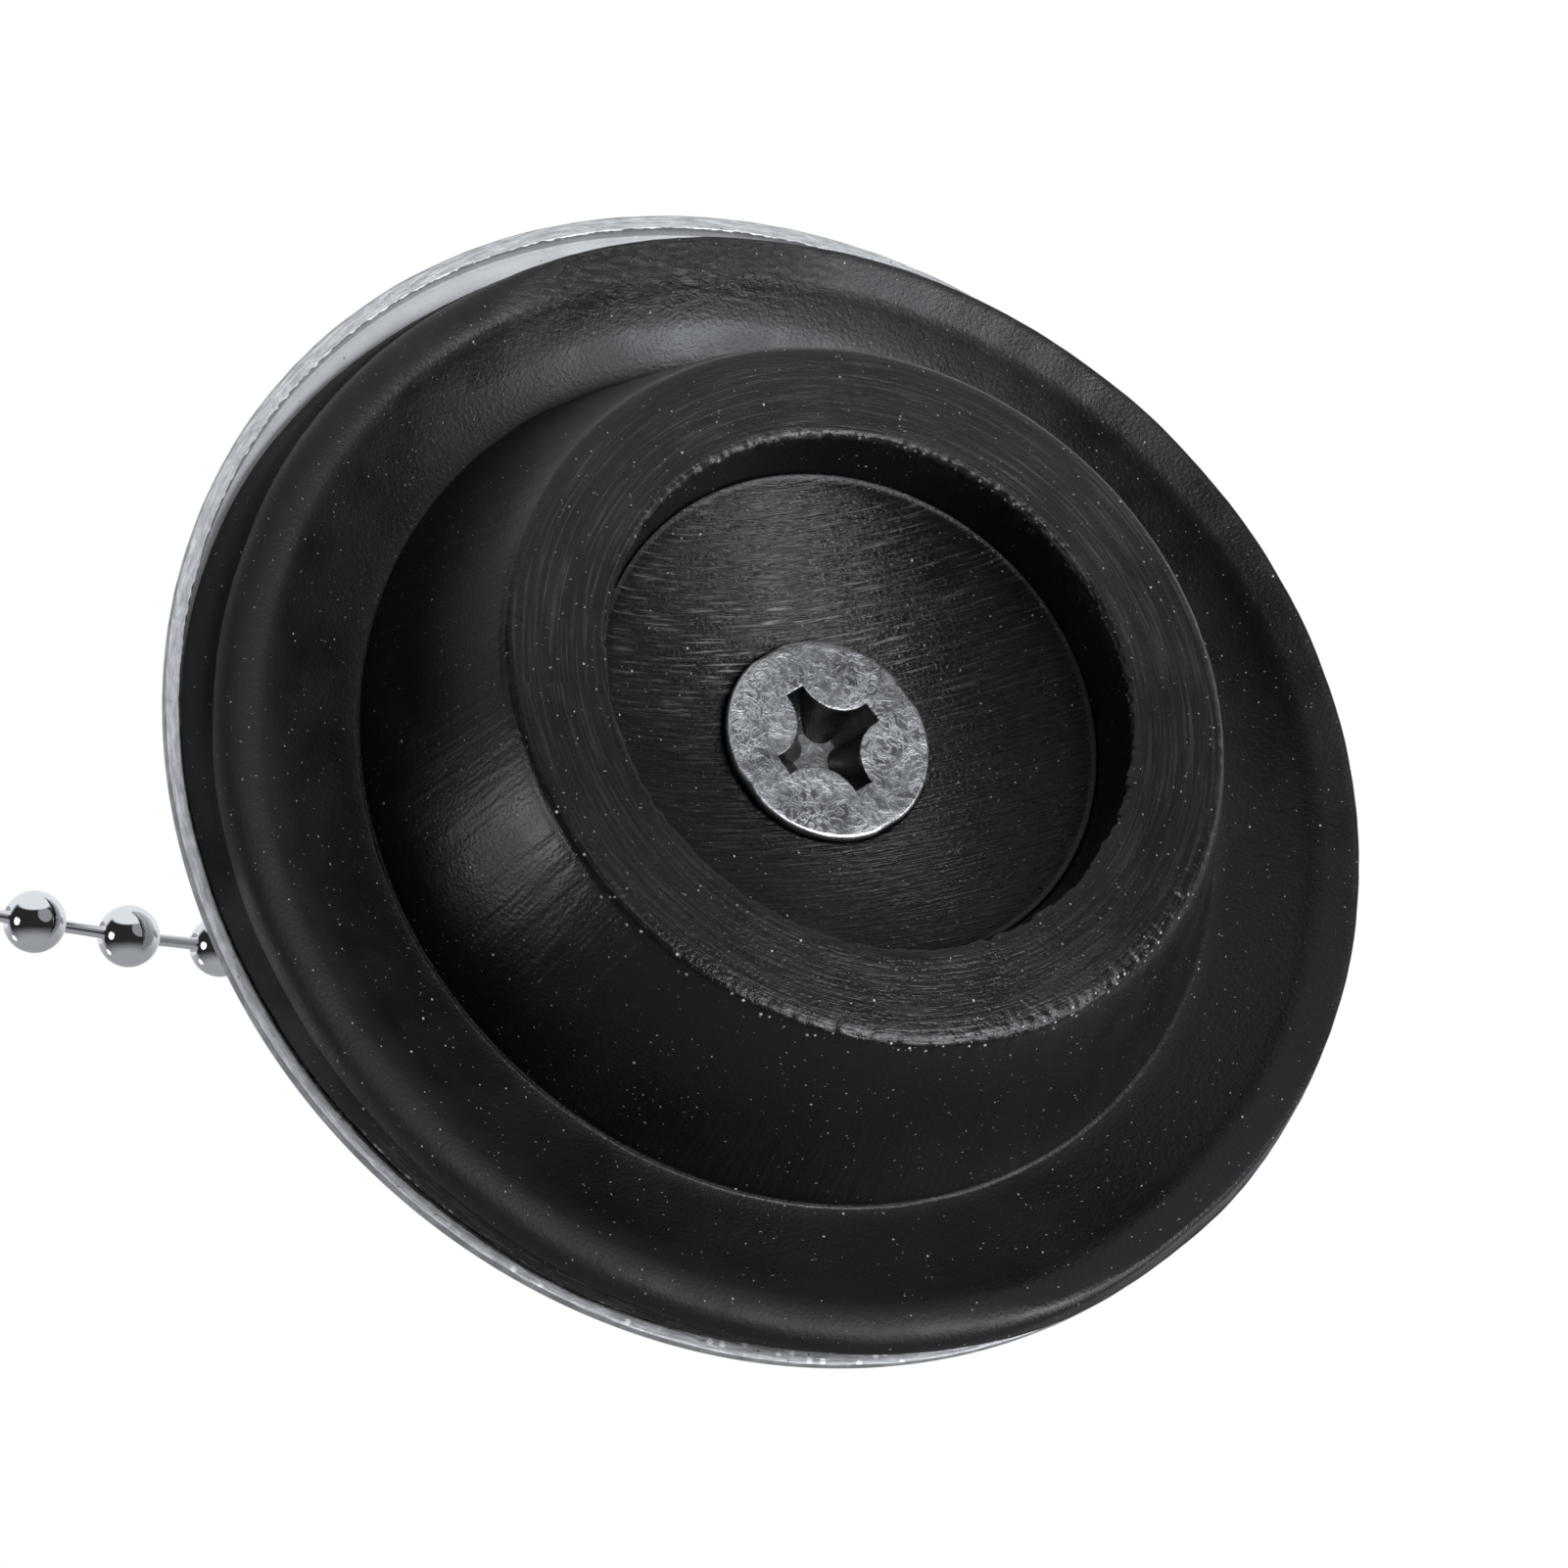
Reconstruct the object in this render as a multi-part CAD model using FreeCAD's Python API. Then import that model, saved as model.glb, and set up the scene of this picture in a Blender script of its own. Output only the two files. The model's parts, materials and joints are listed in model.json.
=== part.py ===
"""Drain stopper: rubber plug under a domed metal cap, with a bead chain put away in a coil.

Millimetres. +Z is up in use: the plug points down and its flat end ring stands on z = 0.
The origin is on the plug's axis. The chain leaves towards -X.
"""
import FreeCAD, Part
import math
import os

from FreeCAD import Vector

# Rubber plug
seat_d = 42.0             # plug diameter where it meets the flange
plug_height = 10.2        # end ring to that crease
tip_d = 34.2              # plug diameter at its end ring
tip_round = 0.35
cup_mouth_d = 24.9
cup_floor_d = 24.2
cup_depth = 3.1           # at the edge of the cup's floor
cup_dish = 3.9            # further depth of the dished floor on the axis
mouth_round = 0.25
flange_inset = 0.95       # flange's edge inside the cap's
flange_edge = 2.3         # height of the flange's edge
flange_flare = 0.4        # that edge is wider at its top than at its lip
flange_hollow = 0.25      # bow of the flange's underside
lip_width = 1.7           # flat under the flange's edge, before its rounds
lip_drop = 2.4            # lip below the crease
lip_round = 0.75
hub_inset = 0.15          # pad under the middle of the cap, inside the cap's flat
plug_bore_gap = 0.1       # round the screw

# Domed cap
cap_d = 58.1
cap_sheet = 0.7
cap_lift = 0.5            # cap's edge above the crease
cap_skirt = 0.9           # short upright edge
cap_rise = 5.2            # dome above the skirt
cap_land_d = 14.0         # pressed flat in the middle
cap_hole_gap = 0.25       # left of the hole's play round the screw
cap_shift = 0.95          # off centre, in the play of its hole
cap_shift_heading = 226.0
cap_corner_round = 0.8
cap_edge_round = 0.2

# Countersunk screw
screw_d = 5.0
screw_length = 16.0
screw_face_z = 5.85       # head's face above the end ring
screw_head_d = 9.6
screw_head_edge = 0.4
screw_face_round = 0.12
screw_end_chamfer = 0.5
screw_seat_gap = 0.05
cross_length = 5.4
cross_width = 1.0
cross_depth = 2.0
cross_core_d = 2.2
cross_foot_d = 1.2
cross_heading = -29.0

# Chain post, a round nut with an eye
post_base_d = 11.0
post_base_height = 1.1
post_base_round = 0.4
post_neck_d = 7.0
post_flare = 1.2
post_thread_gap = 0.1
post_bore_room = 0.5      # bore past the screw's end
post_bore_roof = 1.0      # solid over the bore
post_top_round = 0.9
eye_d = 8.0
eye_thick = 3.0
eye_round = 0.5
eye_hole_d = 3.6
eye_lift = 0.6            # eye's hole above the neck's top
eye_hole_chamfer = 0.3

# Rings of bent wire
ring_d = 7.6              # at the middle of the wire
ring_wire_d = 1.1
ring_play = 0.75          # wire off the middle of the eye's hole
ring_slope = 42.0
end_ring_d = 11.0
end_ring_wire_d = 1.2
ring_cut = 0.2            # butt joint of the wire
ring_cut_heading = 55.0

# Clasps that catch the chain's end beads
clasp_sheet = 0.4
clasp_plate = 0.6
clasp_eye_d = 4.0
clasp_eye_hole_d = 2.1
clasp_reach = 4.2         # eye to the caught bead
clasp_neck_width = 1.6
clasp_mouth_d = 1.9
clasp_slot = 1.0
clasp_bead_gap = 0.15
clasp_play = 0.35         # ring's wire off the middle of the clasp's eye
clasp_slope = 12.0
chain_heading = 159.0     # of the ring and the clasp, from +X

# Bead chain
bead_d = 2.75
bead_wall = 0.25
bead_hole_d = 1.0
bead_pitch = 4.4
link_wire_d = 0.54
link_head_d = 1.1
link_head_out = 0.63      # head's middle from the bead's middle
free_pitches = 12         # from the clasp to the coil

# Coil, wound from its top down to the floor
coil_beads_per_turn = 22
coil_turns = 3
coil_gap = 0.45           # between the beads of neighbouring layers
coil_drop_start_share = 0.05   # of a turn, where the first drop to a lower layer starts
coil_drop_share = 0.4          # of a turn, that each drop takes
tail_pitches = 3          # from the coil to the bead in the end clasp
tie_wire_d = 0.8
tie_half_width = 1.0
tie_share = 0.75          # of a turn from the start of the coil

cut_over = 1.0            # overrun of the cutting tools
match = 0.001             # how near an edge lies to the place it is looked for

# Places that follow from these sizes
flange_r = cap_d / 2 - flange_inset
lip_r = flange_r - flange_flare
hub_r = cap_land_d / 2 - cap_shift - hub_inset
cap_hole_r = screw_d / 2 + cap_shift + cap_hole_gap
lip_z = plug_height - lip_drop
flange_top_z = lip_z + flange_edge
cap_edge_z = plug_height + cap_lift
dome_foot_z = cap_edge_z + cap_skirt
dome_r = ((cap_d / 2) ** 2 + cap_rise**2) / (2 * cap_rise)
dome_centre_z = dome_foot_z + cap_rise - dome_r
land_z = dome_centre_z + math.sqrt(dome_r**2 - (cap_land_d / 2) ** 2)
screw_cone_z = screw_face_z + screw_head_edge
screw_cone_height = (screw_head_d - screw_d) / 2
screw_end_z = screw_face_z + screw_length
bore_end_z = screw_end_z + post_bore_room
neck_top_z = bore_end_z + post_bore_roof
eye_z = neck_top_z + eye_lift + eye_hole_d / 2
clasp_cup_d = bead_d + 2 * (clasp_bead_gap + clasp_sheet)
coil_step = bead_d + coil_gap
coil_top_z = bead_d / 2 + coil_turns * coil_step
coil_turn = 2 * math.pi / coil_beads_per_turn
coil_r = bead_pitch / (2 * math.sin(coil_turn / 2))

# The chain's free stretch past the clasp, chosen by hand: over the cap's rim and sagging to the coil
chain_route = [
    Vector(-19.0, 5.8, 16.7),
    Vector(-28.0, 6.1, 15.0),
    Vector(-38.0, 5.1, 13.4),
    Vector(-48.0, 3.6, 12.1),
    Vector(-58.0, 2.0, coil_top_z),
    Vector(-67.0, 0.4, coil_top_z),
]

ORIGIN = Vector(0, 0, 0)
X_AXIS = Vector(1, 0, 0)
Y_AXIS = Vector(0, 1, 0)
Z_AXIS = Vector(0, 0, 1)


def at(radius, height):
    """A point of a profile that is turned about Z."""
    return Vector(radius, 0, height)


def line(a, b):
    return Part.LineSegment(a, b).toShape()


def arc(a, middle, b):
    return Part.Arc(a, middle, b).toShape()


def lines(*points):
    return [line(a, b) for a, b in zip(points, points[1:])]


def round_arc(radius, centre_z, a, b):
    """The arc of a circle about a centre on the axis, from a to b."""
    middle = (a + b) * 0.5 - at(0, centre_z)
    return arc(a, at(0, centre_z) + middle * (radius / middle.Length), b)


def turned(edges):
    """The solid of a closed profile turned about Z."""
    return Part.Face(Part.Wire(edges)).revolve(ORIGIN, Z_AXIS, 360)


def circles(shape, radius, height):
    """The shape's circles about Z of this radius, at this height."""
    found = []
    for edge in shape.Edges:
        if edge.Degenerated or not isinstance(edge.Curve, Part.Circle):
            continue
        if (edge.Curve.Center - at(0, height)).Length + abs(edge.Curve.Radius - radius) < match:
            found.append(edge)
    return found


def rounded(shape, size, radius, height):
    return shape.makeFillet(size, circles(shape, radius, height))


def drill(radius, low, high):
    return Part.makeCylinder(radius, high - low, at(0, low))


def block(low, high):
    """A box between two corners."""
    return Part.makeBox(high.x - low.x, high.y - low.y, high.z - low.z, low)


def unit(vector):
    return vector * (1 / vector.Length)


def heading(degrees, slope=0.0):
    """The unit vector at an angle from +X, sloping down by an angle."""
    turn = math.radians(degrees)
    drop = math.radians(slope)
    return Vector(math.cos(turn) * math.cos(drop), math.sin(turn) * math.cos(drop), -math.sin(drop))


def level_side(forward):
    """The level unit vector to the left of a direction."""
    return unit(Z_AXIS.cross(forward))


def set_at(shape, place, forward, side=None):
    """A copy with its own X along forward, its own Y along side and its own origin at place."""
    x_axis = unit(forward)
    z_axis = unit(x_axis.cross(level_side(forward) if side is None else side))
    rows = zip(x_axis, z_axis.cross(x_axis), z_axis, place)
    matrix = FreeCAD.Matrix(*[value for row in rows for value in row])
    copy = shape.copy()
    copy.Placement = FreeCAD.Placement(matrix).multiply(shape.Placement)
    return copy


def rubber_plug():
    """The tapered plug with its cup, a flange like a shallow umbrella and a pad under the cap."""
    hub_z = land_z - cap_sheet
    top_r = math.hypot(flange_r, flange_top_z - dome_centre_z)
    hub_foot = at(hub_r, dome_centre_z + math.sqrt(top_r**2 - hub_r**2))
    flange_top = at(flange_r, flange_top_z)
    lip_outer = at(lip_r, lip_z)
    lip_inner = at(lip_r - lip_width, lip_z)
    crease = at(seat_d / 2, plug_height)
    floor_edge = at(cup_floor_d / 2, cup_depth)
    dish_r = ((cup_floor_d / 2) ** 2 + cup_dish**2) / (2 * cup_dish)
    dish_top = at(0, cup_depth + cup_dish)
    under = lip_inner - crease
    bow = Vector(-under.z, 0, under.x) * (flange_hollow / under.Length)
    edges = lines(dish_top, at(0, hub_z), at(hub_r, hub_z), hub_foot)
    edges.append(round_arc(top_r, dome_centre_z, hub_foot, flange_top))
    edges += lines(flange_top, lip_outer, lip_inner)
    edges.append(arc(lip_inner, (lip_inner + crease) * 0.5 + bow, crease))
    edges += lines(crease, at(tip_d / 2, 0), at(cup_mouth_d / 2, 0), floor_edge)
    edges.append(round_arc(dish_r, dish_top.z - dish_r, floor_edge, dish_top))
    plug = turned(edges)
    plug = rounded(plug, lip_round, flange_r, flange_top_z)
    plug = rounded(plug, lip_round, lip_r, lip_z)
    plug = rounded(plug, lip_round, lip_r - lip_width, lip_z)
    plug = rounded(plug, tip_round, tip_d / 2, 0)
    plug = rounded(plug, mouth_round, cup_mouth_d / 2, 0)
    seat = Part.makeCone(
        screw_head_d / 2 + screw_seat_gap + cut_over,
        screw_d / 2 + screw_seat_gap,
        screw_cone_height + cut_over,
        at(0, screw_cone_z - cut_over),
    )
    bore = drill(screw_d / 2 + plug_bore_gap, dish_top.z, hub_z + cut_over)
    return plug.cut(seat).cut(bore)


def dome_cap():
    """The pressed cap: a dome with a short skirt and a flat land round its hole."""
    rim_r = cap_d / 2
    inner_r = dome_r - cap_sheet
    wall_r = rim_r - cap_sheet
    under_z = land_z - cap_sheet
    skirt_top = at(rim_r, dome_foot_z)
    land_edge = at(cap_land_d / 2, land_z)
    land_under = at(math.sqrt(inner_r**2 - (under_z - dome_centre_z) ** 2), under_z)
    wall_top = at(wall_r, dome_centre_z + math.sqrt(inner_r**2 - wall_r**2))
    edges = lines(at(wall_r, cap_edge_z), at(rim_r, cap_edge_z), skirt_top)
    edges.append(round_arc(dome_r, dome_centre_z, skirt_top, land_edge))
    edges += lines(land_edge, at(cap_hole_r, land_z), at(cap_hole_r, under_z), land_under)
    edges.append(round_arc(inner_r, dome_centre_z, land_under, wall_top))
    edges.append(line(wall_top, at(wall_r, cap_edge_z)))
    cap = turned(edges)
    cap = rounded(cap, cap_corner_round, rim_r, dome_foot_z)
    cap = rounded(cap, cap_edge_round, rim_r, cap_edge_z)
    cap = rounded(cap, cap_edge_round, wall_r, cap_edge_z)
    cap.translate(heading(cap_shift_heading) * cap_shift)
    return cap


def clamp_screw():
    """The countersunk screw through the plug and the cap, with its cross recess."""
    head_r = screw_head_d / 2
    shank_r = screw_d / 2
    screw = turned(lines(
        at(0, screw_face_z),
        at(head_r, screw_face_z),
        at(head_r, screw_cone_z),
        at(shank_r, screw_cone_z + screw_cone_height),
        at(shank_r, screw_end_z - screw_end_chamfer),
        at(shank_r - screw_end_chamfer, screw_end_z),
        at(0, screw_end_z),
        at(0, screw_face_z),
    ))
    screw = rounded(screw, screw_face_round, head_r, screw_face_z)
    wing = block(
        Vector(-cross_length / 2, -cross_width / 2, screw_face_z - cut_over),
        Vector(cross_length / 2, cross_width / 2, screw_face_z + cross_depth),
    )
    other = wing.copy()
    other.rotate(ORIGIN, Z_AXIS, 90)
    taper = Part.makeCone(cross_length / 2, cross_foot_d / 2, cross_depth, at(0, screw_face_z))
    core = Part.makeCone(cross_core_d / 2, cross_foot_d / 2, cross_depth, at(0, screw_face_z))
    recess = wing.fuse(other).common(taper).fuse(core)
    recess.rotate(ORIGIN, Z_AXIS, cross_heading)
    return screw.cut(recess)


def chain_post():
    """The nut on top that the screw pulls down, with an eye for the ring."""
    base_r = post_base_d / 2
    neck_r = post_neck_d / 2
    base_top_z = land_z + post_base_height
    body = turned(lines(
        at(0, land_z),
        at(base_r, land_z),
        at(base_r, base_top_z),
        at(neck_r, base_top_z),
        at(neck_r, neck_top_z),
        at(0, neck_top_z),
        at(0, land_z),
    ))
    body = rounded(body, post_flare, neck_r, base_top_z)
    body = rounded(body, post_base_round, base_r, base_top_z)
    body = rounded(body, post_top_round, neck_r, neck_top_z)
    eye = Part.makeSphere(eye_d / 2).common(block(
        Vector(-eye_d, -eye_thick / 2, -eye_d),
        Vector(eye_d, eye_thick / 2, eye_d),
    ))
    rims = [edge for edge in eye.Edges if abs(abs(edge.CenterOfMass.y) - eye_thick / 2) < match]
    eye = eye.makeFillet(eye_round, rims)
    hole = Part.makeCylinder(eye_hole_d / 2, 2 * eye_d, Y_AXIS * -eye_d, Y_AXIS)
    for side in (-1, 1):
        flare = Part.makeCone(
            eye_hole_d / 2,
            eye_hole_d / 2 + eye_hole_chamfer + cut_over,
            eye_hole_chamfer + cut_over,
            Y_AXIS * (side * (eye_thick / 2 - eye_hole_chamfer)),
            Y_AXIS * side,
        )
        hole = hole.fuse(flare)
    eye_place = at(0, eye_z)
    forward = heading(chain_heading)
    bore = drill(screw_d / 2 + post_thread_gap, land_z - cut_over, bore_end_z)
    post = body.fuse(set_at(eye, eye_place, forward)).cut(bore)
    return post.cut(set_at(hole, eye_place, forward))


def wire_ring(middle_d, wire_d):
    """A ring of bent wire in its own XY plane, with a butt joint."""
    ring = Part.makeTorus(middle_d / 2, wire_d / 2)
    gap = block(Vector(0, -ring_cut / 2, -wire_d), Vector(middle_d, ring_cut / 2, wire_d))
    gap.rotate(ORIGIN, Z_AXIS, ring_cut_heading)
    return ring.cut(gap)


def clasp():
    """A folded clasp along its own X: its eye at the origin, its cup round the caught bead."""
    cup_r = clasp_cup_d / 2
    hollow_r = cup_r - clasp_sheet
    bead_place = X_AXIS * clasp_reach
    half_plate = Y_AXIS * (clasp_plate / 2)
    eye = Part.makeCylinder(clasp_eye_d / 2, clasp_plate, half_plate * -1, Y_AXIS)
    neck = block(
        Vector(clasp_eye_hole_d / 2, -clasp_plate / 2, -clasp_neck_width / 2),
        Vector(clasp_reach, clasp_plate / 2, clasp_neck_width / 2),
    )
    body = eye.fuse(neck).fuse(Part.makeSphere(cup_r, bead_place))
    body = body.cut(Part.makeSphere(hollow_r, bead_place))
    body = body.cut(Part.makeCylinder(clasp_mouth_d / 2, cup_r + cut_over, bead_place, X_AXIS))
    slot = block(
        Vector(clasp_reach, -clasp_slot / 2, 0),
        Vector(clasp_reach + cup_r + cut_over, clasp_slot / 2, cup_r + cut_over),
    )
    keyhole = Part.makeCylinder(clasp_slot / 2, cup_r + cut_over, bead_place, Z_AXIS)
    hole = Part.makeCylinder(clasp_eye_hole_d / 2, 2 * clasp_plate, half_plate * -2, Y_AXIS)
    return body.cut(slot).cut(keyhole).cut(hole)


def along_x(shape):
    """A shape turned about Z, laid along X."""
    shape.rotate(ORIGIN, Y_AXIS, 90)
    return shape


def bead():
    """A hollow bead along X with a hole at each end."""
    outer_r = bead_d / 2
    inner_r = outer_r - bead_wall
    hole_r = bead_hole_d / 2
    outer_z = math.sqrt(outer_r**2 - hole_r**2)
    inner_z = math.sqrt(inner_r**2 - hole_r**2)
    return along_x(turned([
        arc(at(hole_r, -outer_z), at(outer_r, 0), at(hole_r, outer_z)),
        line(at(hole_r, outer_z), at(hole_r, inner_z)),
        arc(at(hole_r, inner_z), at(inner_r, 0), at(hole_r, -inner_z)),
        line(at(hole_r, -inner_z), at(hole_r, -outer_z)),
    ]))


def link():
    """A wire along X with a round head at each end, each caught in a bead."""
    head_r = link_head_d / 2
    wire_r = link_wire_d / 2
    head_z = bead_pitch / 2 - link_head_out
    neck_z = head_z - math.sqrt(head_r**2 - wire_r**2)
    end_z = head_z + head_r
    return along_x(turned([
        arc(at(0, -end_z), at(head_r, -head_z), at(wire_r, -neck_z)),
        line(at(wire_r, -neck_z), at(wire_r, neck_z)),
        arc(at(wire_r, neck_z), at(head_r, head_z), at(0, end_z)),
        line(at(0, end_z), at(0, -end_z)),
    ]))


def coil_tie():
    """A closed loop of coated wire round the coil's layers, between two columns of beads."""
    wire_r = tie_wire_d / 2
    low = Vector(0, 0, -tie_height / 2)
    loop = None
    for side in (-1, 1):
        bend = Part.makeTorus(tie_half_width, wire_r, ORIGIN, Y_AXIS, -180, 180, 180)
        if side > 0:
            bend.rotate(ORIGIN, Y_AXIS, 180)
        bend.translate(low * -side)
        leg = Part.makeCylinder(wire_r, tie_height, low + X_AXIS * (side * tie_half_width))
        loop = bend.fuse(leg) if loop is None else loop.fuse(bend).fuse(leg)
    return loop


def smooth(share):
    return share * share * (3 - 2 * share)


def coil_height(turns):
    """Height of the chain's middle in the coil, some turns after its start."""
    since = turns - coil_drop_start_share
    if since < 0:
        return coil_top_z
    whole = math.floor(since)
    part = min((since - whole) / coil_drop_share, 1)
    return coil_top_z - coil_step * (whole + smooth(part))


def along_curve(curve, start, distance):
    """The parameter at which a curve is a straight distance from its point at start."""
    low = start
    high = curve.LastParameter
    for _ in range(60):
        middle = (low + high) / 2
        if (curve.value(middle) - curve.value(start)).Length < distance:
            low = middle
        else:
            high = middle
    return high


def free_points(start):
    """Bead middles from the clasp's bead to the start of the coil."""
    curve = Part.BSplineCurve()
    curve.interpolate([start] + chain_route)
    place = curve.FirstParameter
    points = [start]
    for _ in range(free_pitches):
        place = along_curve(curve, place, bead_pitch)
        points.append(curve.value(place))
    return points


def coil_points(before, first):
    """Bead middles round the coil, which turns left, and the middle of the coil."""
    inward = level_side(first - before)
    middle = first + inward * coil_r
    spoke = math.atan2(first.y - middle.y, first.x - middle.x)
    points = []
    for number in range(coil_turns * coil_beads_per_turn + 1):
        angle = spoke + number * coil_turn
        height = coil_height(number / coil_beads_per_turn)
        points.append(Vector(
            middle.x + coil_r * math.cos(angle),
            middle.y + coil_r * math.sin(angle),
            height,
        ))
    return points, middle


def tail_points(before, last):
    """Bead middles from the coil to the end clasp, whose cup stands on the floor."""
    forward = unit(Vector(last.x - before.x, last.y - before.y, 0))
    points = [last + forward * (bead_pitch * number) for number in range(1, tail_pitches + 1)]
    points[-1].z = clasp_cup_d / 2
    return points


# Where the ring, the top clasp and the chain lie
eye_side = level_side(heading(chain_heading))
ring_forward = heading(chain_heading, ring_slope)
ring_middle = at(0, eye_z) + ring_forward * (ring_play + ring_d / 2)
ring_far = ring_middle + ring_forward * (ring_d / 2)
clasp_forward = heading(chain_heading, clasp_slope)
clasp_place = ring_far + clasp_forward * clasp_play
points = free_points(clasp_place + clasp_forward * clasp_reach)
coil_start = len(points) - 1
round_points, coil_middle = coil_points(points[-2], points[-1])
points = points[:-1] + round_points
coil_end = len(points) - 1
points += tail_points(points[-2], points[-1])
count = len(points)

bead_axes = [points[1] - points[0]]
bead_axes += [points[i + 1] - points[i - 1] for i in range(1, count - 1)]
bead_axes.append(points[-1] - points[-2])
bead_axes = [unit(axis) for axis in bead_axes]
link_ends = [
    (points[i] + bead_axes[i] * link_head_out, points[i + 1] - bead_axes[i + 1] * link_head_out)
    for i in range(count - 1)
]

# Where the end clasp and the end ring lie
end_forward = points[-1] - points[-2]
end_forward = unit(Vector(end_forward.x, end_forward.y, 0))
end_clasp_place = points[-1] + end_forward * clasp_reach
end_ring_near = end_clasp_place + end_forward * clasp_play
end_ring_fall = (end_ring_near.z - end_ring_wire_d / 2) / end_ring_d
end_ring_forward = end_forward * math.sqrt(1 - end_ring_fall**2) - Z_AXIS * end_ring_fall
end_ring_middle = end_ring_near + end_ring_forward * (end_ring_d / 2)

# Where the tie lies
tie_number = coil_start + math.floor(tie_share * coil_beads_per_turn)
tie_top = (points[tie_number] + points[tie_number + 1]) * 0.5
tie_height = (coil_turns - 1) * coil_step
tie_place = tie_top - Z_AXIS * (tie_height / 2)
tie_forward = Vector(coil_middle.x - tie_top.x, coil_middle.y - tie_top.y, 0)


def all_nodes():
    """Every node's name and shape."""
    ring = wire_ring(ring_d, ring_wire_d)
    end_ring = wire_ring(end_ring_d, end_ring_wire_d)
    one_clasp, one_bead, one_link = clasp(), bead(), link()
    beads = [set_at(one_bead, place, axis) for place, axis in zip(points, bead_axes)]
    links = [set_at(one_link, (a + b) * 0.5, b - a) for a, b in link_ends]
    nodes = {
        "rubber_plug": rubber_plug(),
        "dome_cap": dome_cap(),
        "clamp_screw": clamp_screw(),
        "chain_post": chain_post(),
        "post_ring": set_at(ring, ring_middle, ring_forward, eye_side),
        "top_clasp": set_at(one_clasp, clasp_place, clasp_forward, eye_side),
        "end_clasp": set_at(one_clasp, end_clasp_place, end_forward * -1),
        "end_ring": set_at(end_ring, end_ring_middle, end_ring_forward * -1),
        "coil_tie": set_at(coil_tie(), tie_place, tie_forward),
    }
    for number in range(coil_start):
        nodes[f"chain_bead_{number + 1:02d}"] = beads[number]
        nodes[f"chain_link_{number + 1:02d}"] = links[number]
    for turn in range(coil_turns):
        first = coil_start + turn * coil_beads_per_turn
        last = first + coil_beads_per_turn
        nodes[f"coil_turn_{turn + 1}_beads"] = Part.makeCompound(beads[first:last])
        nodes[f"coil_turn_{turn + 1}_links"] = Part.makeCompound(links[first:last])
    nodes["tail_beads"] = Part.makeCompound(beads[coil_end:-1])
    nodes["tail_links"] = Part.makeCompound(links[coil_end:])
    nodes["end_bead"] = beads[-1]
    return nodes


def least_gap():
    """The least gap between two beads that no link joins."""
    near = min(
        (points[i] - points[j]).Length for i in range(count) for j in range(i + 2, count)
    )
    return near - bead_d


def main():
    os.makedirs("parts", exist_ok=True)
    for name, shape in all_nodes().items():
        if not shape.isValid():
            print("not valid:", name)
        shape.exportStep(f"parts/{name}.step")
    print(f"chain: {count} beads, {(count - 1) * bead_pitch:.0f} mm")
    print(f"coil: least gap between beads {least_gap():.2f} mm")


main()
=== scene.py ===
"""Drain stopper seen from below: rubber plug, domed steel cap, cross screw and bead chain."""

import json
import math

import bmesh
import bpy
from mathutils import Matrix, Vector, noise


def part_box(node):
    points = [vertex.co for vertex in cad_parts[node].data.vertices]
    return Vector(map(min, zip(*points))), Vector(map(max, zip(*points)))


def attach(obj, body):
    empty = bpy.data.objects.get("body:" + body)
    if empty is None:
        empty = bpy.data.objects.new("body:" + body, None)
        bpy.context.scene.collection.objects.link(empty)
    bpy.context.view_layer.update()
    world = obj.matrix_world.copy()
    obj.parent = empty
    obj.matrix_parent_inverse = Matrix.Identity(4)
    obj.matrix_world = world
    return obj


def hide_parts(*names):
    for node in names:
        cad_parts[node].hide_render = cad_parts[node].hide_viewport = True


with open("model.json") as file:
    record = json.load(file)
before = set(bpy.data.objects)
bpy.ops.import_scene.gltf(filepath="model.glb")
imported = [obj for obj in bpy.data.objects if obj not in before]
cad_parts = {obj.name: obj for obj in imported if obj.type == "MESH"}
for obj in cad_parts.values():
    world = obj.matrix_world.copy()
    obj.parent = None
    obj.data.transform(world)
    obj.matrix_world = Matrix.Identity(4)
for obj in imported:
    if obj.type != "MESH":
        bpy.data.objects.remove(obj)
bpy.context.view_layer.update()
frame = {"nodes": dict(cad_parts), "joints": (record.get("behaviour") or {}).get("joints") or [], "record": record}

MM = 0.001
BODY_OF = {node: body for body, nodes in frame["record"]["behaviour"]["bodies"].items() for node in nodes}
SLOT_OF = {sub["node"]: sub["material_slot"] for sub in frame["record"]["subparts"]}

# Camera of the photo, in the row's frame
VIEW_RIGHT = Vector((0.9287, 0.1457, -0.3410))
VIEW_DOWN = Vector((0.0, 0.9195, 0.3930))
VIEW_FORWARD = Vector((0.3708, -0.3650, 0.8540))
VIEW_PLACE = Vector((-84.50, 82.91, -182.84)) * MM
LENS = 112.43
SENSOR = 36.0
DAYLIGHT = (0.90, 0.945, 1.0, 1.0)

# Sizes of the cap in millimetres; its shift and radius follow the photo, the rest the solids
CAP_SHIFT = Vector((-0.66, -0.84, 0))
CAP_R = 28.95
CAP_SHEET = 0.7
CAP_EDGE_Z = 10.7
DOME_FOOT_Z = 11.6
DOME_RISE = 5.2
DOME_R = (CAP_R**2 + DOME_RISE**2) / (2 * DOME_RISE)
DOME_CENTRE_Z = DOME_FOOT_Z + DOME_RISE - DOME_R
LAND_R = 7.0
LAND_Z = DOME_CENTRE_Z + math.sqrt(DOME_R**2 - LAND_R**2)

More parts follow.
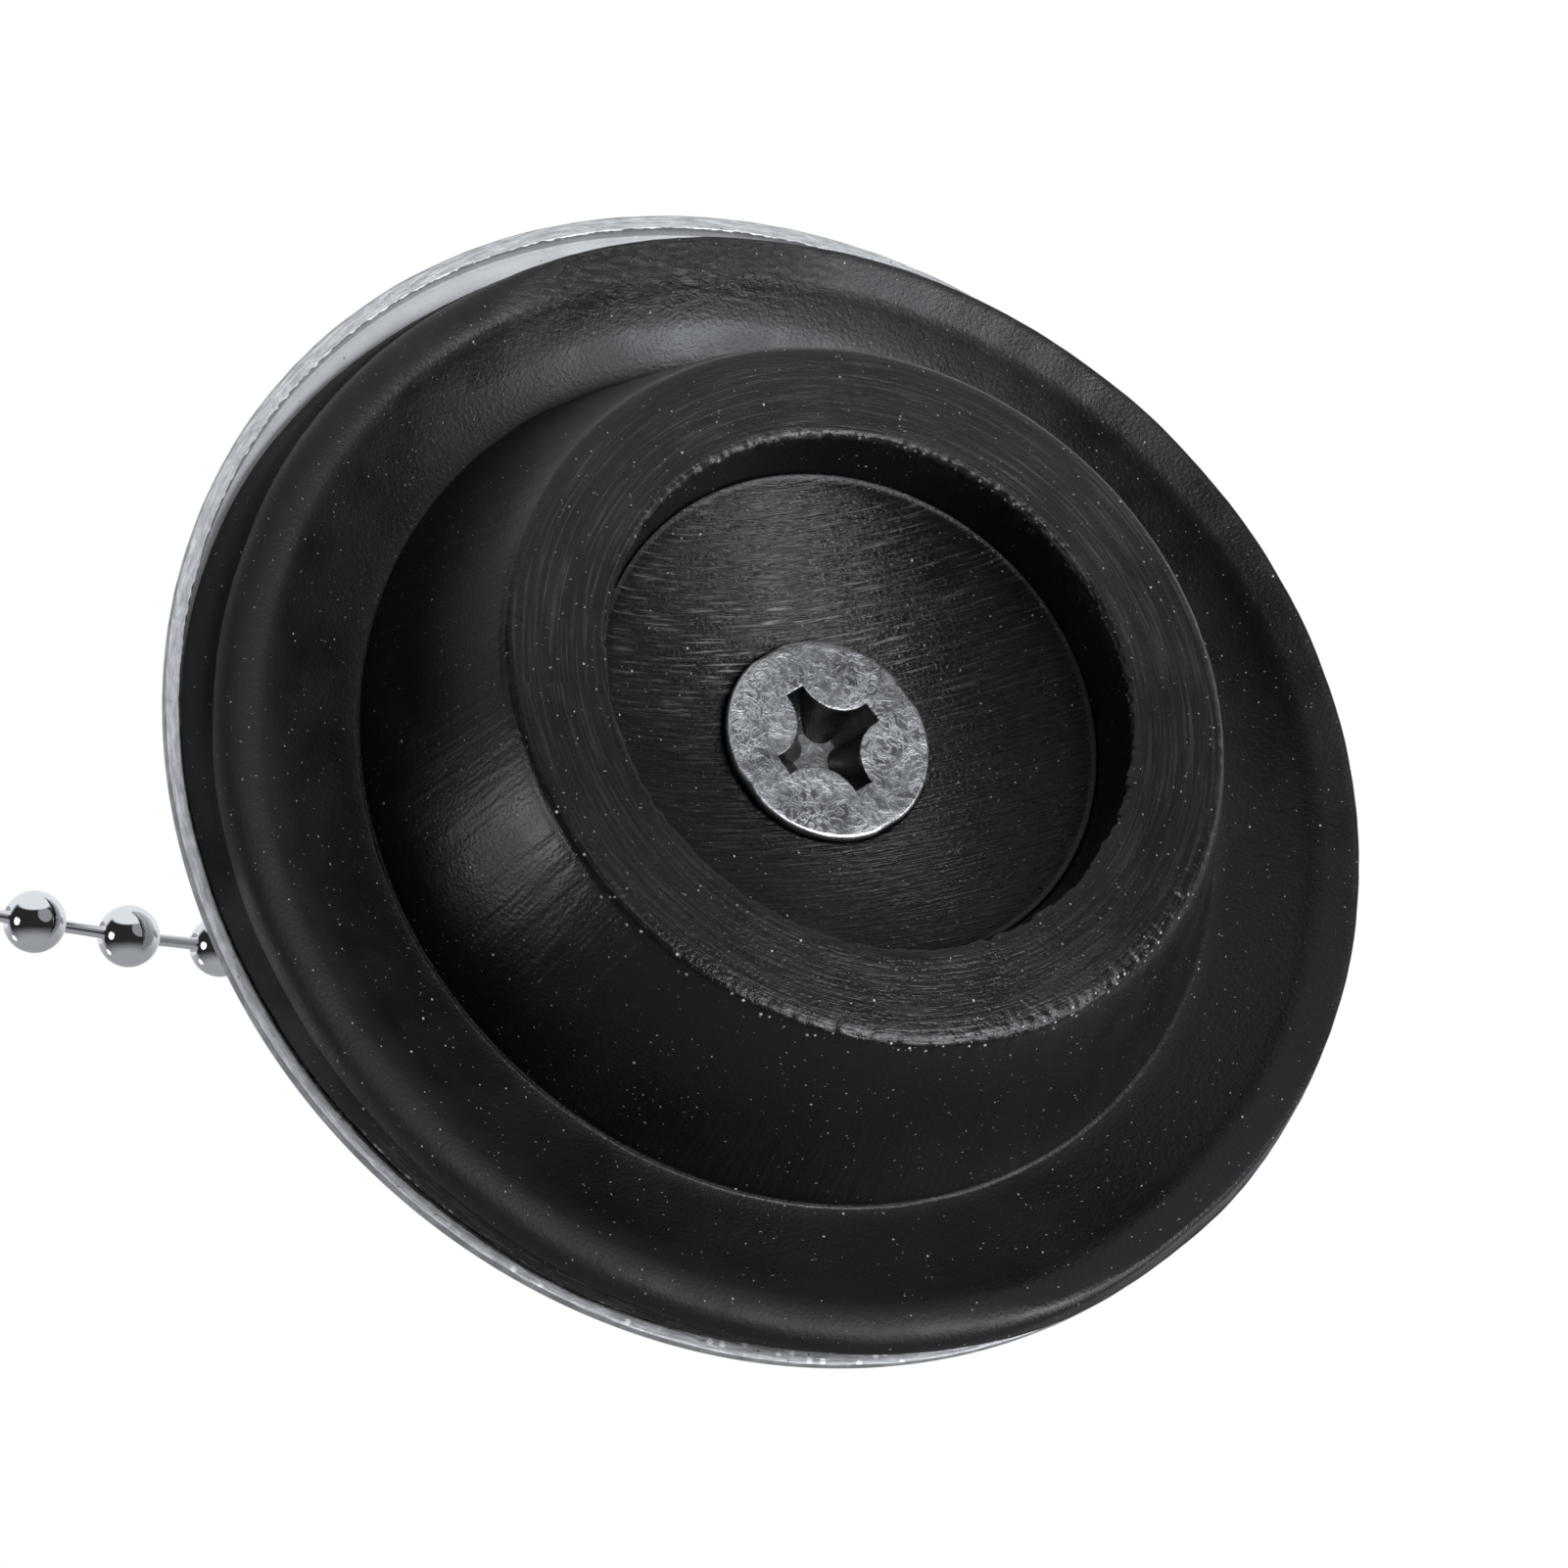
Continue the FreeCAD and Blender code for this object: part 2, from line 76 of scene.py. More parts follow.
# Sizes of the plug and the screw, whose radius follows the photo
PLUG_H = 10.2
SEAT_R = 21.0
TIP_R = 17.1
CUP_R = 12.1
CUP_FLOOR_Z = 3.1
DISH_RISE = 3.9
FLANGE_EDGE = (26.0, 7.8)
BAND_R = 27.2
BORE_R = 2.6
SCREW_R = 4.92
SCREW_FACE_Z = 5.85
SCREW_NECK_Z = 8.55

# How the flange's soft edge hangs in the photo, with the degrees where each form starts and ends
SLACK = 0.62
SWELL = 0.42
SWELL_TURNS = (55, 80, 165, 205)
ROUND_LIP_TURNS = (60, 90, 235, 260)
BAND_OUT = 0.25
BAND_OUT_TURNS = (95, 125, 140, 175)
BAND_LIFT = 0.56
BAND_LIFT_TURNS = (90, 120, 215, 250)
FLARE = 1.15
FLARE_TURN = 196
GROOVE_Z = 8.93
GROOVE_DEPTH = 1.0
GROOVE_TURNS = (178, 195, 222, 245)

# Sizes of the chain
BEAD_R = 1.375
BEAD_HOLE_R = 0.5
HEAD_OUT = 0.63
CLASP_PLAY = 0.35


# Node materials

class Maker:
    """Builds one material's nodes."""

    def __init__(self, name):
        self.material = bpy.data.materials.new(name)
        self.material.use_nodes = True
        self.tree = self.material.node_tree
        self.shader = self.tree.nodes["Principled BSDF"]

    def node(self, kind, **settings):
        made = self.tree.nodes.new(kind)
        for key, value in settings.items():
            setattr(made, key, value)
        return made

    def feed(self, socket, value):
        if isinstance(value, bpy.types.NodeSocket):
            self.tree.links.new(value, socket)
        elif value is not None:
            socket.default_value = value

    def math(self, operation, a, b=None):
        made = self.node("ShaderNodeMath", operation=operation)
        for socket, value in zip(made.inputs, (a, b)):
            self.feed(socket, value)
        return made.outputs[0]

    def times(self, *factors):
        product = factors[0]
        for factor in factors[1:]:
            product = self.math("MULTIPLY", product, factor)
        return product

    def plus(self, *parts):
        total = parts[0]
        for part in parts[1:]:
            total = self.math("ADD", total, part)
        return total

    def minus(self, a, b):
        return self.math("SUBTRACT", a, b)

    def most(self, a, b):
        return self.math("MAXIMUM", a, b)

    def from_axis(self, x, y):
        """Distance from the axis."""
        return self.math("SQRT", self.plus(self.times(x, x), self.times(y, y)))

    def ramp(self, value, low, high, to_low=0.0, to_high=1.0):
        """A smooth step of a value."""
        made = self.node("ShaderNodeMapRange", interpolation_type="SMOOTHSTEP")
        for name, given in (("Value", value), ("From Min", low), ("From Max", high),
                            ("To Min", to_low), ("To Max", to_high)):
            self.feed(made.inputs[name], given)
        return made.outputs[0]

    def band(self, value, low, high, soft):
        """One between low and high, and nought outside."""
        rise = self.ramp(value, low - soft, low + soft)
        return self.times(rise, self.ramp(value, high + soft, high - soft))

    def mix(self, share, a, b):
        made = self.node("ShaderNodeMix", data_type="RGBA")
        self.feed(made.inputs["Factor"], share)
        self.feed(made.inputs["A"], a)
        self.feed(made.inputs["B"], b)
        return made.outputs["Result"]

    def layers(self, colour, coats):
        """A colour under some (share, grey) coats, the last one on top."""
        for share, value in coats:
            colour = self.mix(share, colour, grey(value))
        return colour

    def vector(self, x, y, z):
        made = self.node("ShaderNodeCombineXYZ")
        for socket, value in zip(made.inputs, (x, y, z)):
            self.feed(socket, value)
        return made.outputs[0]

    def stretched(self, first, by_first, second, by_second, third=0.0):
        """A place for a pattern, scaled along two ways."""
        return self.vector(self.times(first, by_first), self.times(second, by_second), third)

    def place(self):
        """The surface point in millimetres, and its x, y and z."""
        coordinates = self.node("ShaderNodeTexCoord").outputs["Object"]
        scaled = self.node("ShaderNodeVectorMath", operation="SCALE")
        self.feed(scaled.inputs[0], coordinates)
        scaled.inputs["Scale"].default_value = 1 / MM
        parts = self.node("ShaderNodeSeparateXYZ")
        self.feed(parts.inputs[0], scaled.outputs[0])
        return scaled.outputs[0], parts.outputs[0], parts.outputs[1], parts.outputs[2]

    def noise(self, vector, scale, detail=3.0, roughness=0.55, distortion=0.0):
        made = self.node("ShaderNodeTexNoise")
        self.feed(made.inputs["Vector"], vector)
        made.inputs["Scale"].default_value = scale
        made.inputs["Detail"].default_value = detail
        made.inputs["Roughness"].default_value = roughness
        made.inputs["Distortion"].default_value = distortion
        return made.outputs["Fac"]

    def specks(self, vector, scale, size, share):
        """Dots of one size in some cells."""
        made = self.node("ShaderNodeTexVoronoi")
        self.feed(made.inputs["Vector"], vector)
        made.inputs["Scale"].default_value = scale
        parts = self.node("ShaderNodeSeparateColor")
        self.feed(parts.inputs[0], made.outputs["Color"])
        chosen = self.math("LESS_THAN", parts.outputs[0], share)
        return self.times(self.ramp(made.outputs["Distance"], size, size * 0.4), chosen)

    def bump(self, height, distance, strength=1.0, normal=None):
        made = self.node("ShaderNodeBump")
        made.inputs["Strength"].default_value = strength
        made.inputs["Distance"].default_value = distance * MM
        self.feed(made.inputs["Height"], height)
        self.feed(made.inputs["Normal"], normal)
        return made.outputs[0]

    def done(self, colour, roughness, normal=None, metallic=0.0, **fixed):
        inputs = self.shader.inputs
        self.feed(inputs["Base Color"], colour)
        self.feed(inputs["Roughness"], roughness)
        self.feed(inputs["Normal"], normal)
        inputs["Metallic"].default_value = metallic
        for name, value in fixed.items():
            inputs[name].default_value = value
        return self.material


def grey(value, warm=0.0):
    return (value * (1 + warm), value, value * (1 - warm), 1.0)


class Rubber(Maker):
    """Moulded black rubber: turned end ring, scratched cup floor, crinkled flange and dust, with painted sheen on
    the ring's top, the cup floor above the screw, the flange's top and its lower band, and painted highlights
    along the crease and in glint specks.
    """

    def __init__(self):
        super().__init__("rubber")
        self.point, self.x, self.y, self.z = self.place()
        self.radius = self.from_axis(self.x, self.y)
        self.angle = self.math("ARCTAN2", self.y, self.x)
        self.mark_faces()
        self.mark_wear()
        self.lay_patterns()

    def mark_faces(self):
        z, radius = self.z, self.radius
        floor_z = self.ramp(z, CUP_FLOOR_Z - 0.2, CUP_FLOOR_Z + 0.2)
        self.ring = self.times(self.ramp(z, 0.45, 0.15), self.band(radius, CUP_R + 0.2, TIP_R + 0.1, 0.1))
        self.floor = self.times(floor_z, self.ramp(radius, CUP_R, CUP_R - 0.4))
        side_z = self.band(z, 0.5, PLUG_H - 0.4, 0.2)
        self.side = self.times(side_z, self.band(radius, TIP_R - 0.3, SEAT_R, 0.3))
        self.flange = self.ramp(radius, SEAT_R - 0.2, SEAT_R + 0.6)

    def mark_wear(self):
        """Where the rubber is crinkled, creased or torn, with a painted highlight along the crease and painted
        sheen on the lower band; low y is the top as the camera sees it.
        """
        y, z, radius = self.y, self.z, self.radius
        top_left = self.times(self.band(self.x, -10.5, 4.0, 3.0), self.ramp(y, -18.0, -22.0))
        self.crinkled = self.times(self.ramp(radius, 23.0, FLANGE_EDGE[0]), top_left)
        # Painted highlight: a thin light line along the crease ridge
        crease_highlight_line = self.band(radius, SEAT_R - 0.07, SEAT_R - 0.03, 0.03)
        self.crease = self.times(crease_highlight_line, self.ramp(z, PLUG_H - 0.6, PLUG_H - 0.3))
        tip_line = self.band(radius, TIP_R - 0.35, TIP_R + 0.15, 0.08)
        self.torn = self.times(tip_line, self.ramp(z, 0.8, 0.4), self.ramp(y, 4.0, 12.0))
        mouth_line = self.band(radius, CUP_R + 0.15, CUP_R + 0.55, 0.08)
        self.brim = self.times(mouth_line, self.ramp(z, 0.6, 0.3), self.ramp(y, 0.0, -8.0))
        self.past_lip = self.ramp(radius, BAND_R, BAND_R + 0.4)
        # The flange's lower outer band, which gets painted streaky sheen and painted glint specks
        self.low_band = self.times(self.past_lip, self.ramp(z, 9.0, 9.3), self.ramp(y, 14.0, 22.0))

    def lay_patterns(self):
        x, y, z, angle = self.x, self.y, self.z, self.angle
        scratch_slope = 0.14
        along = self.plus(x, self.times(y, -scratch_slope))
        across = self.plus(y, self.times(x, scratch_slope))
        self.grain = self.noise(self.point, 5.0)
        self.cloud = self.noise(self.point, 0.22, 3.0, 0.6)
        self.hair = self.noise(self.stretched(along, 0.35, across, 6.5), 1.0, 3.0, 0.7)
        self.rows = self.noise(self.stretched(self.radius, 6.0, angle, 2.6), 1.0, 3.0, 0.7)
        self.streak = self.noise(self.stretched(angle, 26.0, z, 0.12), 1.0, 2.0, 0.6)
        self.crinkle = self.noise(self.stretched(x, 1.3, y, 3.4, z), 1.0, 4.0, 0.65, 0.6)
        self.band_sheen = self.noise(self.stretched(angle, 14.0, z, 7.0), 1.0, 4.0, 0.7)

    def dust_and_glints(self):
        """Dust, fluff and powder, crumbs at the torn edges with painted glints among them, and painted glint
        specks along the flange's lower band.
        """
        fluff_place = self.vector(self.x, self.times(self.y, 3.0), self.times(self.z, 2.0))
        dust = self.specks(self.point, 0.62, 0.052, 0.8)
        small_dust = self.specks(self.point, 1.5, 0.09, 0.8)
        fluff = self.specks(fluff_place, 0.7, 0.07, 0.7)
        powder = self.specks(self.point, 3.1, 0.13, 0.35)
        loose = self.most(dust, self.times(small_dust, 0.6))
        loose = self.most(loose, self.times(self.most(fluff, powder), 0.45))
        torn_edge = self.most(self.torn, self.times(self.brim, 0.35))
        # Crumbs at the torn edges, painted light as glints
        crumbs_and_glints = self.times(self.specks(self.point, 2.4, 0.23, 0.75), torn_edge)
        # Painted glint specks along the top of the lower band
        rim_edge = self.times(self.low_band, self.ramp(self.z, 9.95, 10.1))
        rim_highlight = self.times(self.specks(self.point, 2.4, 0.42, 0.75), rim_edge)
        return self.most(loose, self.most(crumbs_and_glints, rim_highlight))

    def colour(self, dust_and_glints):
        y = self.y
        # Painted sheen: the end ring's colour grows lighter towards its top, where the light falls
        turned = self.times(self.ring, self.ramp(y, 4.0, -16.0, 0.0, 0.9))
        # Real turning rows on the ring, painted lighter towards the top as sheen
        rows = self.times(self.ramp(self.rows, 0.52, 0.72), self.ring, self.ramp(y, 10.0, -10.0, 0.07, 0.6))
        # Real hairline scratches on the cup floor, painted lighter above, left of and near the screw as the sheen
        # of the light on the dish
        scratched = self.times(self.ramp(y, 1.0, -6.0, 0.03, 0.28), self.ramp(self.x, 9.0, 2.0, 0.3, 1.0))
        scratched = self.times(self.floor, scratched, self.ramp(self.radius, 9.0, 5.5, 1.0, 3.0))
        # Painted sheen on the flange's top, mottled by the cloud pattern
        top_sheen = self.times(self.flange, self.ramp(y, -13.0, -23.0), self.ramp(self.cloud, 0.3, 0.7, 0.3, 1.0))
        return self.layers(self.mix(self.cloud, grey(0.0028), grey(0.0055)), (
            (turned, 0.0100),
            (rows, 0.045),
            (self.times(self.ramp(self.hair, 0.54, 0.68), scratched), 0.2),
            (top_sheen, 0.0150),
            (self.times(self.ramp(self.crinkle, 0.5, 0.8), self.crinkled, 0.35), 0.035),
            # Painted highlight along the crease
            (self.times(self.crease, self.ramp(self.grain, 0.3, 0.6, 0.05, 0.4)), 0.10),
            # Painted streaky sheen on the flange's lower outer band
            (self.times(self.ramp(self.band_sheen, 0.48, 0.66, 0.0, 0.7), self.low_band), 0.06),
            (self.times(dust_and_glints, 0.8), 0.46),
        ))

    def roughness(self, dust_and_glints):
        """Smoother on the cup floor and the end ring, duller on the lip and under the dust and glint specks."""
        left = self.times(self.ramp(self.y, -16.0, -8.0, 0.4, 1.0), self.ramp(self.x, 8.0, -2.0, 0.0, 0.8))
        return self.plus(
            self.ramp(self.cloud, 0.3, 0.7, 0.31, 0.44),
            self.times(self.floor, -0.08),
            self.times(self.floor, self.ramp(self.hair, 0.42, 0.60, -0.09, 0.08)),
            self.times(self.ring, self.ramp(self.y, -8.0, 6.0, -0.08, -0.15)),
            self.times(self.ring, self.ramp(self.rows, 0.42, 0.60, -0.05, 0.09)),
            self.times(self.ramp(self.radius, 24.6, 25.9, 0.0, 0.27), left),
            self.times(self.past_lip, self.ramp(self.z, 8.95, 9.1), 0.2),
            self.times(dust_and_glints, 0.3),
        )

    def relief(self, dust_and_glints):
        """Height of the surface in millimetres."""
        return self.plus(
            self.times(self.grain, 0.028),
            self.times(self.rows, self.ring, 0.030),
            self.times(self.hair, self.floor, 0.12),
            self.times(self.grain, self.floor, 0.012),
            self.times(self.streak, self.side, 0.07),
            self.times(self.crinkle, self.crinkled, 0.22),
            self.times(dust_and_glints, 0.05),
        )

    def finished(self):
        dust_and_glints = self.dust_and_glints()
        normal = self.bump(self.relief(dust_and_glints), 1.0)
        return self.done(self.colour(dust_and_glints), self.roughness(dust_and_glints), normal, **{"Specular IOR Level": 0.26})


def cap_material():
    """Stainless sheet: brushed, scratched and pitted, with a drawn edge, painted glint specks all over and more
    painted glints along the sheared edge towards the bottom.
    """
    m = Maker("cap_sheet")
    place, x, y, z = m.place()
    along = m.plus(m.times(x, 0.80), m.times(y, 0.60))
    across = m.plus(m.times(x, -0.60), m.times(y, 0.80))
    brush = m.noise(m.stretched(along, 0.25, across, 5.0, z), 1.0, 4.0, 0.65)
    scratch = m.noise(m.stretched(along, 3.5, across, 0.2, z), 1.0, 2.0, 0.7)
    cloud = m.noise(place, 0.5, 4.0)
    grain = m.noise(place, 5.0, 3.0, 0.6)
    pits = m.specks(place, 1.3, 0.10, 0.5)
    glints = m.specks(place, 0.9, 0.09, 0.5)

    cap_x, cap_y = m.minus(x, CAP_SHIFT.x), m.minus(y, CAP_SHIFT.y)
    radius = m.from_axis(cap_x, cap_y)
    angle = m.math("ARCTAN2", cap_y, cap_x)
    drawn = m.noise(m.stretched(radius, 6.0, angle, 22.0), 1.0, 4.0, 0.65)
    inside = m.times(m.ramp(radius, CAP_R - 0.62, CAP_R - 0.70), m.ramp(z, 12.5, 12.0))
    edge = m.times(m.ramp(z, 11.7, 11.4), m.ramp(radius, CAP_R - 0.72, CAP_R - 0.66))
    # Painted glints: bright specks along the sheared burr, most at the bottom, where the light catches it
    burr = m.times(m.band(radius, CAP_R - 0.72, CAP_R - 0.5, 0.05), m.ramp(y, 4.0, 20.0, 0.15, 1.0))
    low_edge = m.times(m.ramp(y, 19.0, 25.0), m.ramp(z, CAP_EDGE_Z + 0.4, CAP_EDGE_Z + 0.2))
    low_burr = m.times(m.band(radius, CAP_R - 0.5, CAP_R - 0.05, 0.05), low_edge)
    crumbs_and_glints = m.times(m.specks(place, 1.9, 0.40, 0.75), m.most(burr, low_burr))

    colour = m.layers(m.mix(brush, grey(0.50), grey(0.74)), (
        (m.times(m.ramp(cloud, 0.4, 0.75), 0.2), 0.42),
        (m.times(m.ramp(scratch, 0.62, 0.78), 0.4), 0.9),
        (m.times(pits, 0.6), 0.12),
        (glints, 0.95),
    ))
    colour = m.mix(m.times(edge, 0.7), colour, m.mix(m.ramp(drawn, 0.34, 0.66), grey(0.28), grey(0.56)))
    colour = m.layers(colour, ((m.times(inside, 0.5), 0.50), (crumbs_and_glints, 0.92)))
    roughness = m.plus(
        m.ramp(cloud, 0.25, 0.75, 0.28, 0.34),
        m.times(m.most(inside, edge), 0.30),
        m.times(m.minus(brush, 0.5), 0.16),
    )
    normal = m.bump(brush, 0.016, 0.8)
    normal = m.bump(grain, 0.012, 0.8, normal)
    normal = m.bump(m.times(drawn, edge), 0.04, 0.8, normal)
    normal = m.bump(m.minus(glints, pits), 0.05, 0.8, normal)
    return m.done(colour, roughness, normal, 1.0)


def screw_material():
    """Tumbled zinc plate: pale worm marks on grey, and a painted highlight round the head's edge."""
    m = Maker("screw_plate")
    place, x, y, z = m.place()
    worms = m.noise(place, 1.5, 4.0, 0.7, 1.6)
    patch = m.ramp(m.noise(place, 0.42, 2.0), 0.40, 0.60, 0.25, 0.75)
    cloud = m.ramp(m.noise(place, 0.6, 3.0), 0.3, 0.7)
    grain = m.noise(place, 9.0, 2.0)
    ridge = m.ramp(m.math("ABSOLUTE", m.minus(worms, 0.5)), 0.07, 0.0)
    radius = m.from_axis(x, y)
    face = m.ramp(z, SCREW_FACE_Z + 0.17, SCREW_FACE_Z + 0.07)
    recess_z = m.ramp(z, SCREW_FACE_Z + 0.10, SCREW_FACE_Z + 0.40)
    rim_z = m.ramp(z, SCREW_FACE_Z + 0.25, SCREW_FACE_Z + 0.10)
    inside = m.times(recess_z, m.ramp(radius, 3.0, 2.8))
    # Painted highlight: a bright band round the head's edge
    rim_highlight = m.times(m.band(radius, SCREW_R - 0.14, SCREW_R + 0.05, 0.03), rim_z)
    colour = m.layers(m.mix(cloud, grey(0.08), grey(0.21)), (
        (m.times(ridge, face, patch), 0.52),
        (m.times(rim_highlight, 0.6), 0.85),
        (m.times(inside, 0.8), 0.13),
    ))
    roughness = m.ramp(worms, 0.3, 0.7, 0.42, 0.30)
    normal = m.bump(worms, 0.045, 0.9)
    normal = m.bump(grain, 0.010, 0.8, normal)
    return m.done(colour, roughness, normal, 1.0)


def bright_material(name, value, smooth, wear):
    """Polished plating with faint wear."""
    m = Maker(name)
    place, x, y, z = m.place()
    cloud = m.noise(place, 1.1, 4.0)
    scuff = m.noise(m.stretched(x, 2.0, y, 0.5, m.times(z, 6.0)), 1.0, 4.0)
    colour = m.mix(m.times(cloud, wear), grey(value), grey(value * 0.72))
    roughness = m.ramp(scuff, 0.45, 0.75, smooth, smooth + wear * 0.25)
    normal = m.bump(scuff, 0.006 + 0.01 * wear, 0.6)
    return m.done(colour, roughness, normal, 1.0)


def tie_material():
    """Pale ribbed plastic."""
    m = Maker("tie_coat")
    place = m.place()[0]
    ribs = m.node("ShaderNodeTexWave", bands_direction="Z")
    m.feed(ribs.inputs["Vector"], place)
    ribs.inputs["Scale"].default_value = 1.4
    cloud = m.noise(place, 1.6, 3.0)
    colour = m.mix(cloud, grey(0.62, 0.01), grey(0.78, 0.015))
    return m.done(colour, m.ramp(cloud, 0.3, 0.7, 0.45, 0.6), m.bump(ribs.outputs["Fac"], 0.03, 0.5))


MATERIALS = {
    "plug_rubber": Rubber().finished(),
    "cap_steel": cap_material(),
    "screw_zinc": screw_material(),
    "post_chrome": bright_material("post_plating", 0.80, 0.10, 0.35),
    "ring_steel": bright_material("ring_wire", 0.74, 0.16, 0.45),
    "clasp_chrome": bright_material("clasp_sheet", 0.78, 0.12, 0.40),
    "chain_bead": bright_material("bead_plating", 0.84, 0.045, 0.10),
    "chain_link": bright_material("link_wire", 0.80, 0.07, 0.15),
    "tie_coat": tie_material(),
}


# Meshes, in millimetres until they are finished

def skin(work, rings, closed):
    """Faces between rings of vertices; the last ring meets the first, or both ends get a face."""
    pairs = list(zip(rings, rings[1:])) + ([(rings[-1], rings[0])] if closed else [])
    for low, high in pairs:
        for step in range(len(low)):
            after = (step + 1) % len(low)
            work.faces.new((low[step], low[after], high[after], high[step]))
    if not closed:
        work.faces.new(rings[0])
        work.faces.new(rings[-1])


def lathe(work, profile, segments, closed=True, wobble=None, place=Matrix.Identity(4)):
    """Turns a profile of (radius, height) about Z into a bmesh."""
    rings = []
    for row, (radius, height) in enumerate(profile):
        ring = []
        for step in range(segments):
            turn = 2 * math.pi * step / segments
            r, h = wobble(row, turn, radius, height) if wobble else (radius, height)
            ring.append(work.verts.new(place @ Vector((r * math.cos(turn), r * math.sin(turn), h))))
        rings.append(ring)
    skin(work, rings, closed)


def tube(work, points, sides, radius, closed=False):
    """A round tube along points."""
    count = len(points)
    rings = []
    normal = None
    for i, point in enumerate(points):
        ahead = points[(i + 1) % count] if closed or i < count - 1 else point
        behind = points[i - 1] if closed or i > 0 else point
        along = (ahead - behind).normalized()
        if normal is None:
            normal = along.orthogonal().normalized()
        normal = (normal - along * normal.dot(along)).normalized()
        other = along.cross(normal)
        ring = []
        for k in range(sides):
            turn = 2 * math.pi * k / sides
            ring.append(work.verts.new(point + (normal * math.cos(turn) + other * math.sin(turn)) * radius))
        rings.append(ring)
    skin(work, rings, closed)


def rounded(points, radii, steps=6):
    """A profile with its corners rounded."""
    out = []
    count = len(points)
    for i, (point, radius) in enumerate(zip(points, radii)):
        here = Vector(point)
        if radius <= 0:
            out.append(tuple(here))
            continue
        before = (Vector(points[i - 1]) - here).normalized()
        after = (Vector(points[(i + 1) % count]) - here).normalized()
        half = before.angle(after) / 2
        reach = radius / math.tan(half)
        middle = here + (before + after).normalized() * (radius / math.sin(half))
        a, b = here + before * reach - middle, here + after * reach - middle
        for step in range(steps + 1):
            share = step / steps
            out.append(tuple(middle + a.slerp(b, share) * radius))
    return out


def arc(radius, centre_z, from_r, to_r, parts):
    """A profile's arc about a centre on the axis, bulging up."""
    steps = [from_r + (to_r - from_r) * i / parts for i in range(parts + 1)]
    return [(r, centre_z + math.sqrt(radius**2 - r**2)) for r in steps]


def finish_mesh(work, name, sharp=40.0):
    """A smooth mesh in metres from a bmesh in millimetres."""
    bmesh.ops.recalc_face_normals(work, faces=work.faces[:])
    mesh = bpy.data.meshes.new(name)
    work.to_mesh(mesh)
    work.free()
    mesh.transform(Matrix.Scale(MM, 4))
    mesh.shade_smooth()
    mesh.set_sharp_from_angle(angle=math.radians(sharp))
    return mesh


looks = {}


def stand_for(node, mesh):
    """A finished piece in place of a CAD node."""
    piece = bpy.data.objects.new(node + "_look", mesh)
    bpy.context.scene.collection.objects.link(piece)
    mesh.materials.clear()
    mesh.materials.append(MATERIALS[SLOT_OF[node]])
    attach(piece, BODY_OF[node])
    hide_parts(node)
    looks[node] = piece


def rough(turn, scale, seed):
    """Noise round a circle, about -1 to 1."""
    return noise.noise(Vector((math.cos(turn) * scale, math.sin(turn) * scale, seed)))


def held(value):
    """A value held between 0 and 1."""
    return min(1.0, max(0.0, value))


def window(turn, corners):
    """A smooth rise between the first two angles and fall between the last two, in degrees."""
    steps = []
    for start, end in (corners[:2], corners[2:]):
        share = held((math.degrees(turn) % 360 - start) / (end - start))
        steps.append(share * share * (3 - 2 * share))
    return steps[0] * (1 - steps[1])


# Rubber plug

# Zones of the plug whose edges are torn or soft, as (radius, height)
MOUTH = [(12.42, 0.34), (12.44, 0.22), (12.50, 0.12), (12.58, 0.05), (12.70, 0.01), (12.95, 0.0)]
TIP = [(16.10, 0.0), (16.35, 0.0), (16.55, 0.01), (16.70, 0.03), (16.84, 0.07), (16.96, 0.13),
       (17.06, 0.22), (17.14, 0.33), (17.20, 0.45), (17.27, 0.60), (17.36, 0.80)]
LIP = [(25.62, 8.02), (25.90, 7.89), (26.2, 7.82), (26.5, 7.80), (26.8, 7.81), (27.1, 7.87), (27.36, 7.98),
       (27.58, 8.17), (27.73, 8.42), (27.78, 8.62), (27.80, 8.76), (27.66, 8.85), (27.65, GROOVE_Z),
       (27.82, 9.04), (27.88, 9.15), (27.93, 9.4), (27.90, 9.62), (27.78, 9.86), (27.55, 10.06)]
FLAT_LIP = [(25.62, 8.00), (25.95, 7.88), (26.3, 7.75), (26.65, 7.63), (27.0, 7.51), (27.25, 7.44),
            (27.38, 7.45), (27.47, 7.54), (27.55, 7.85), (27.66, 8.35)]


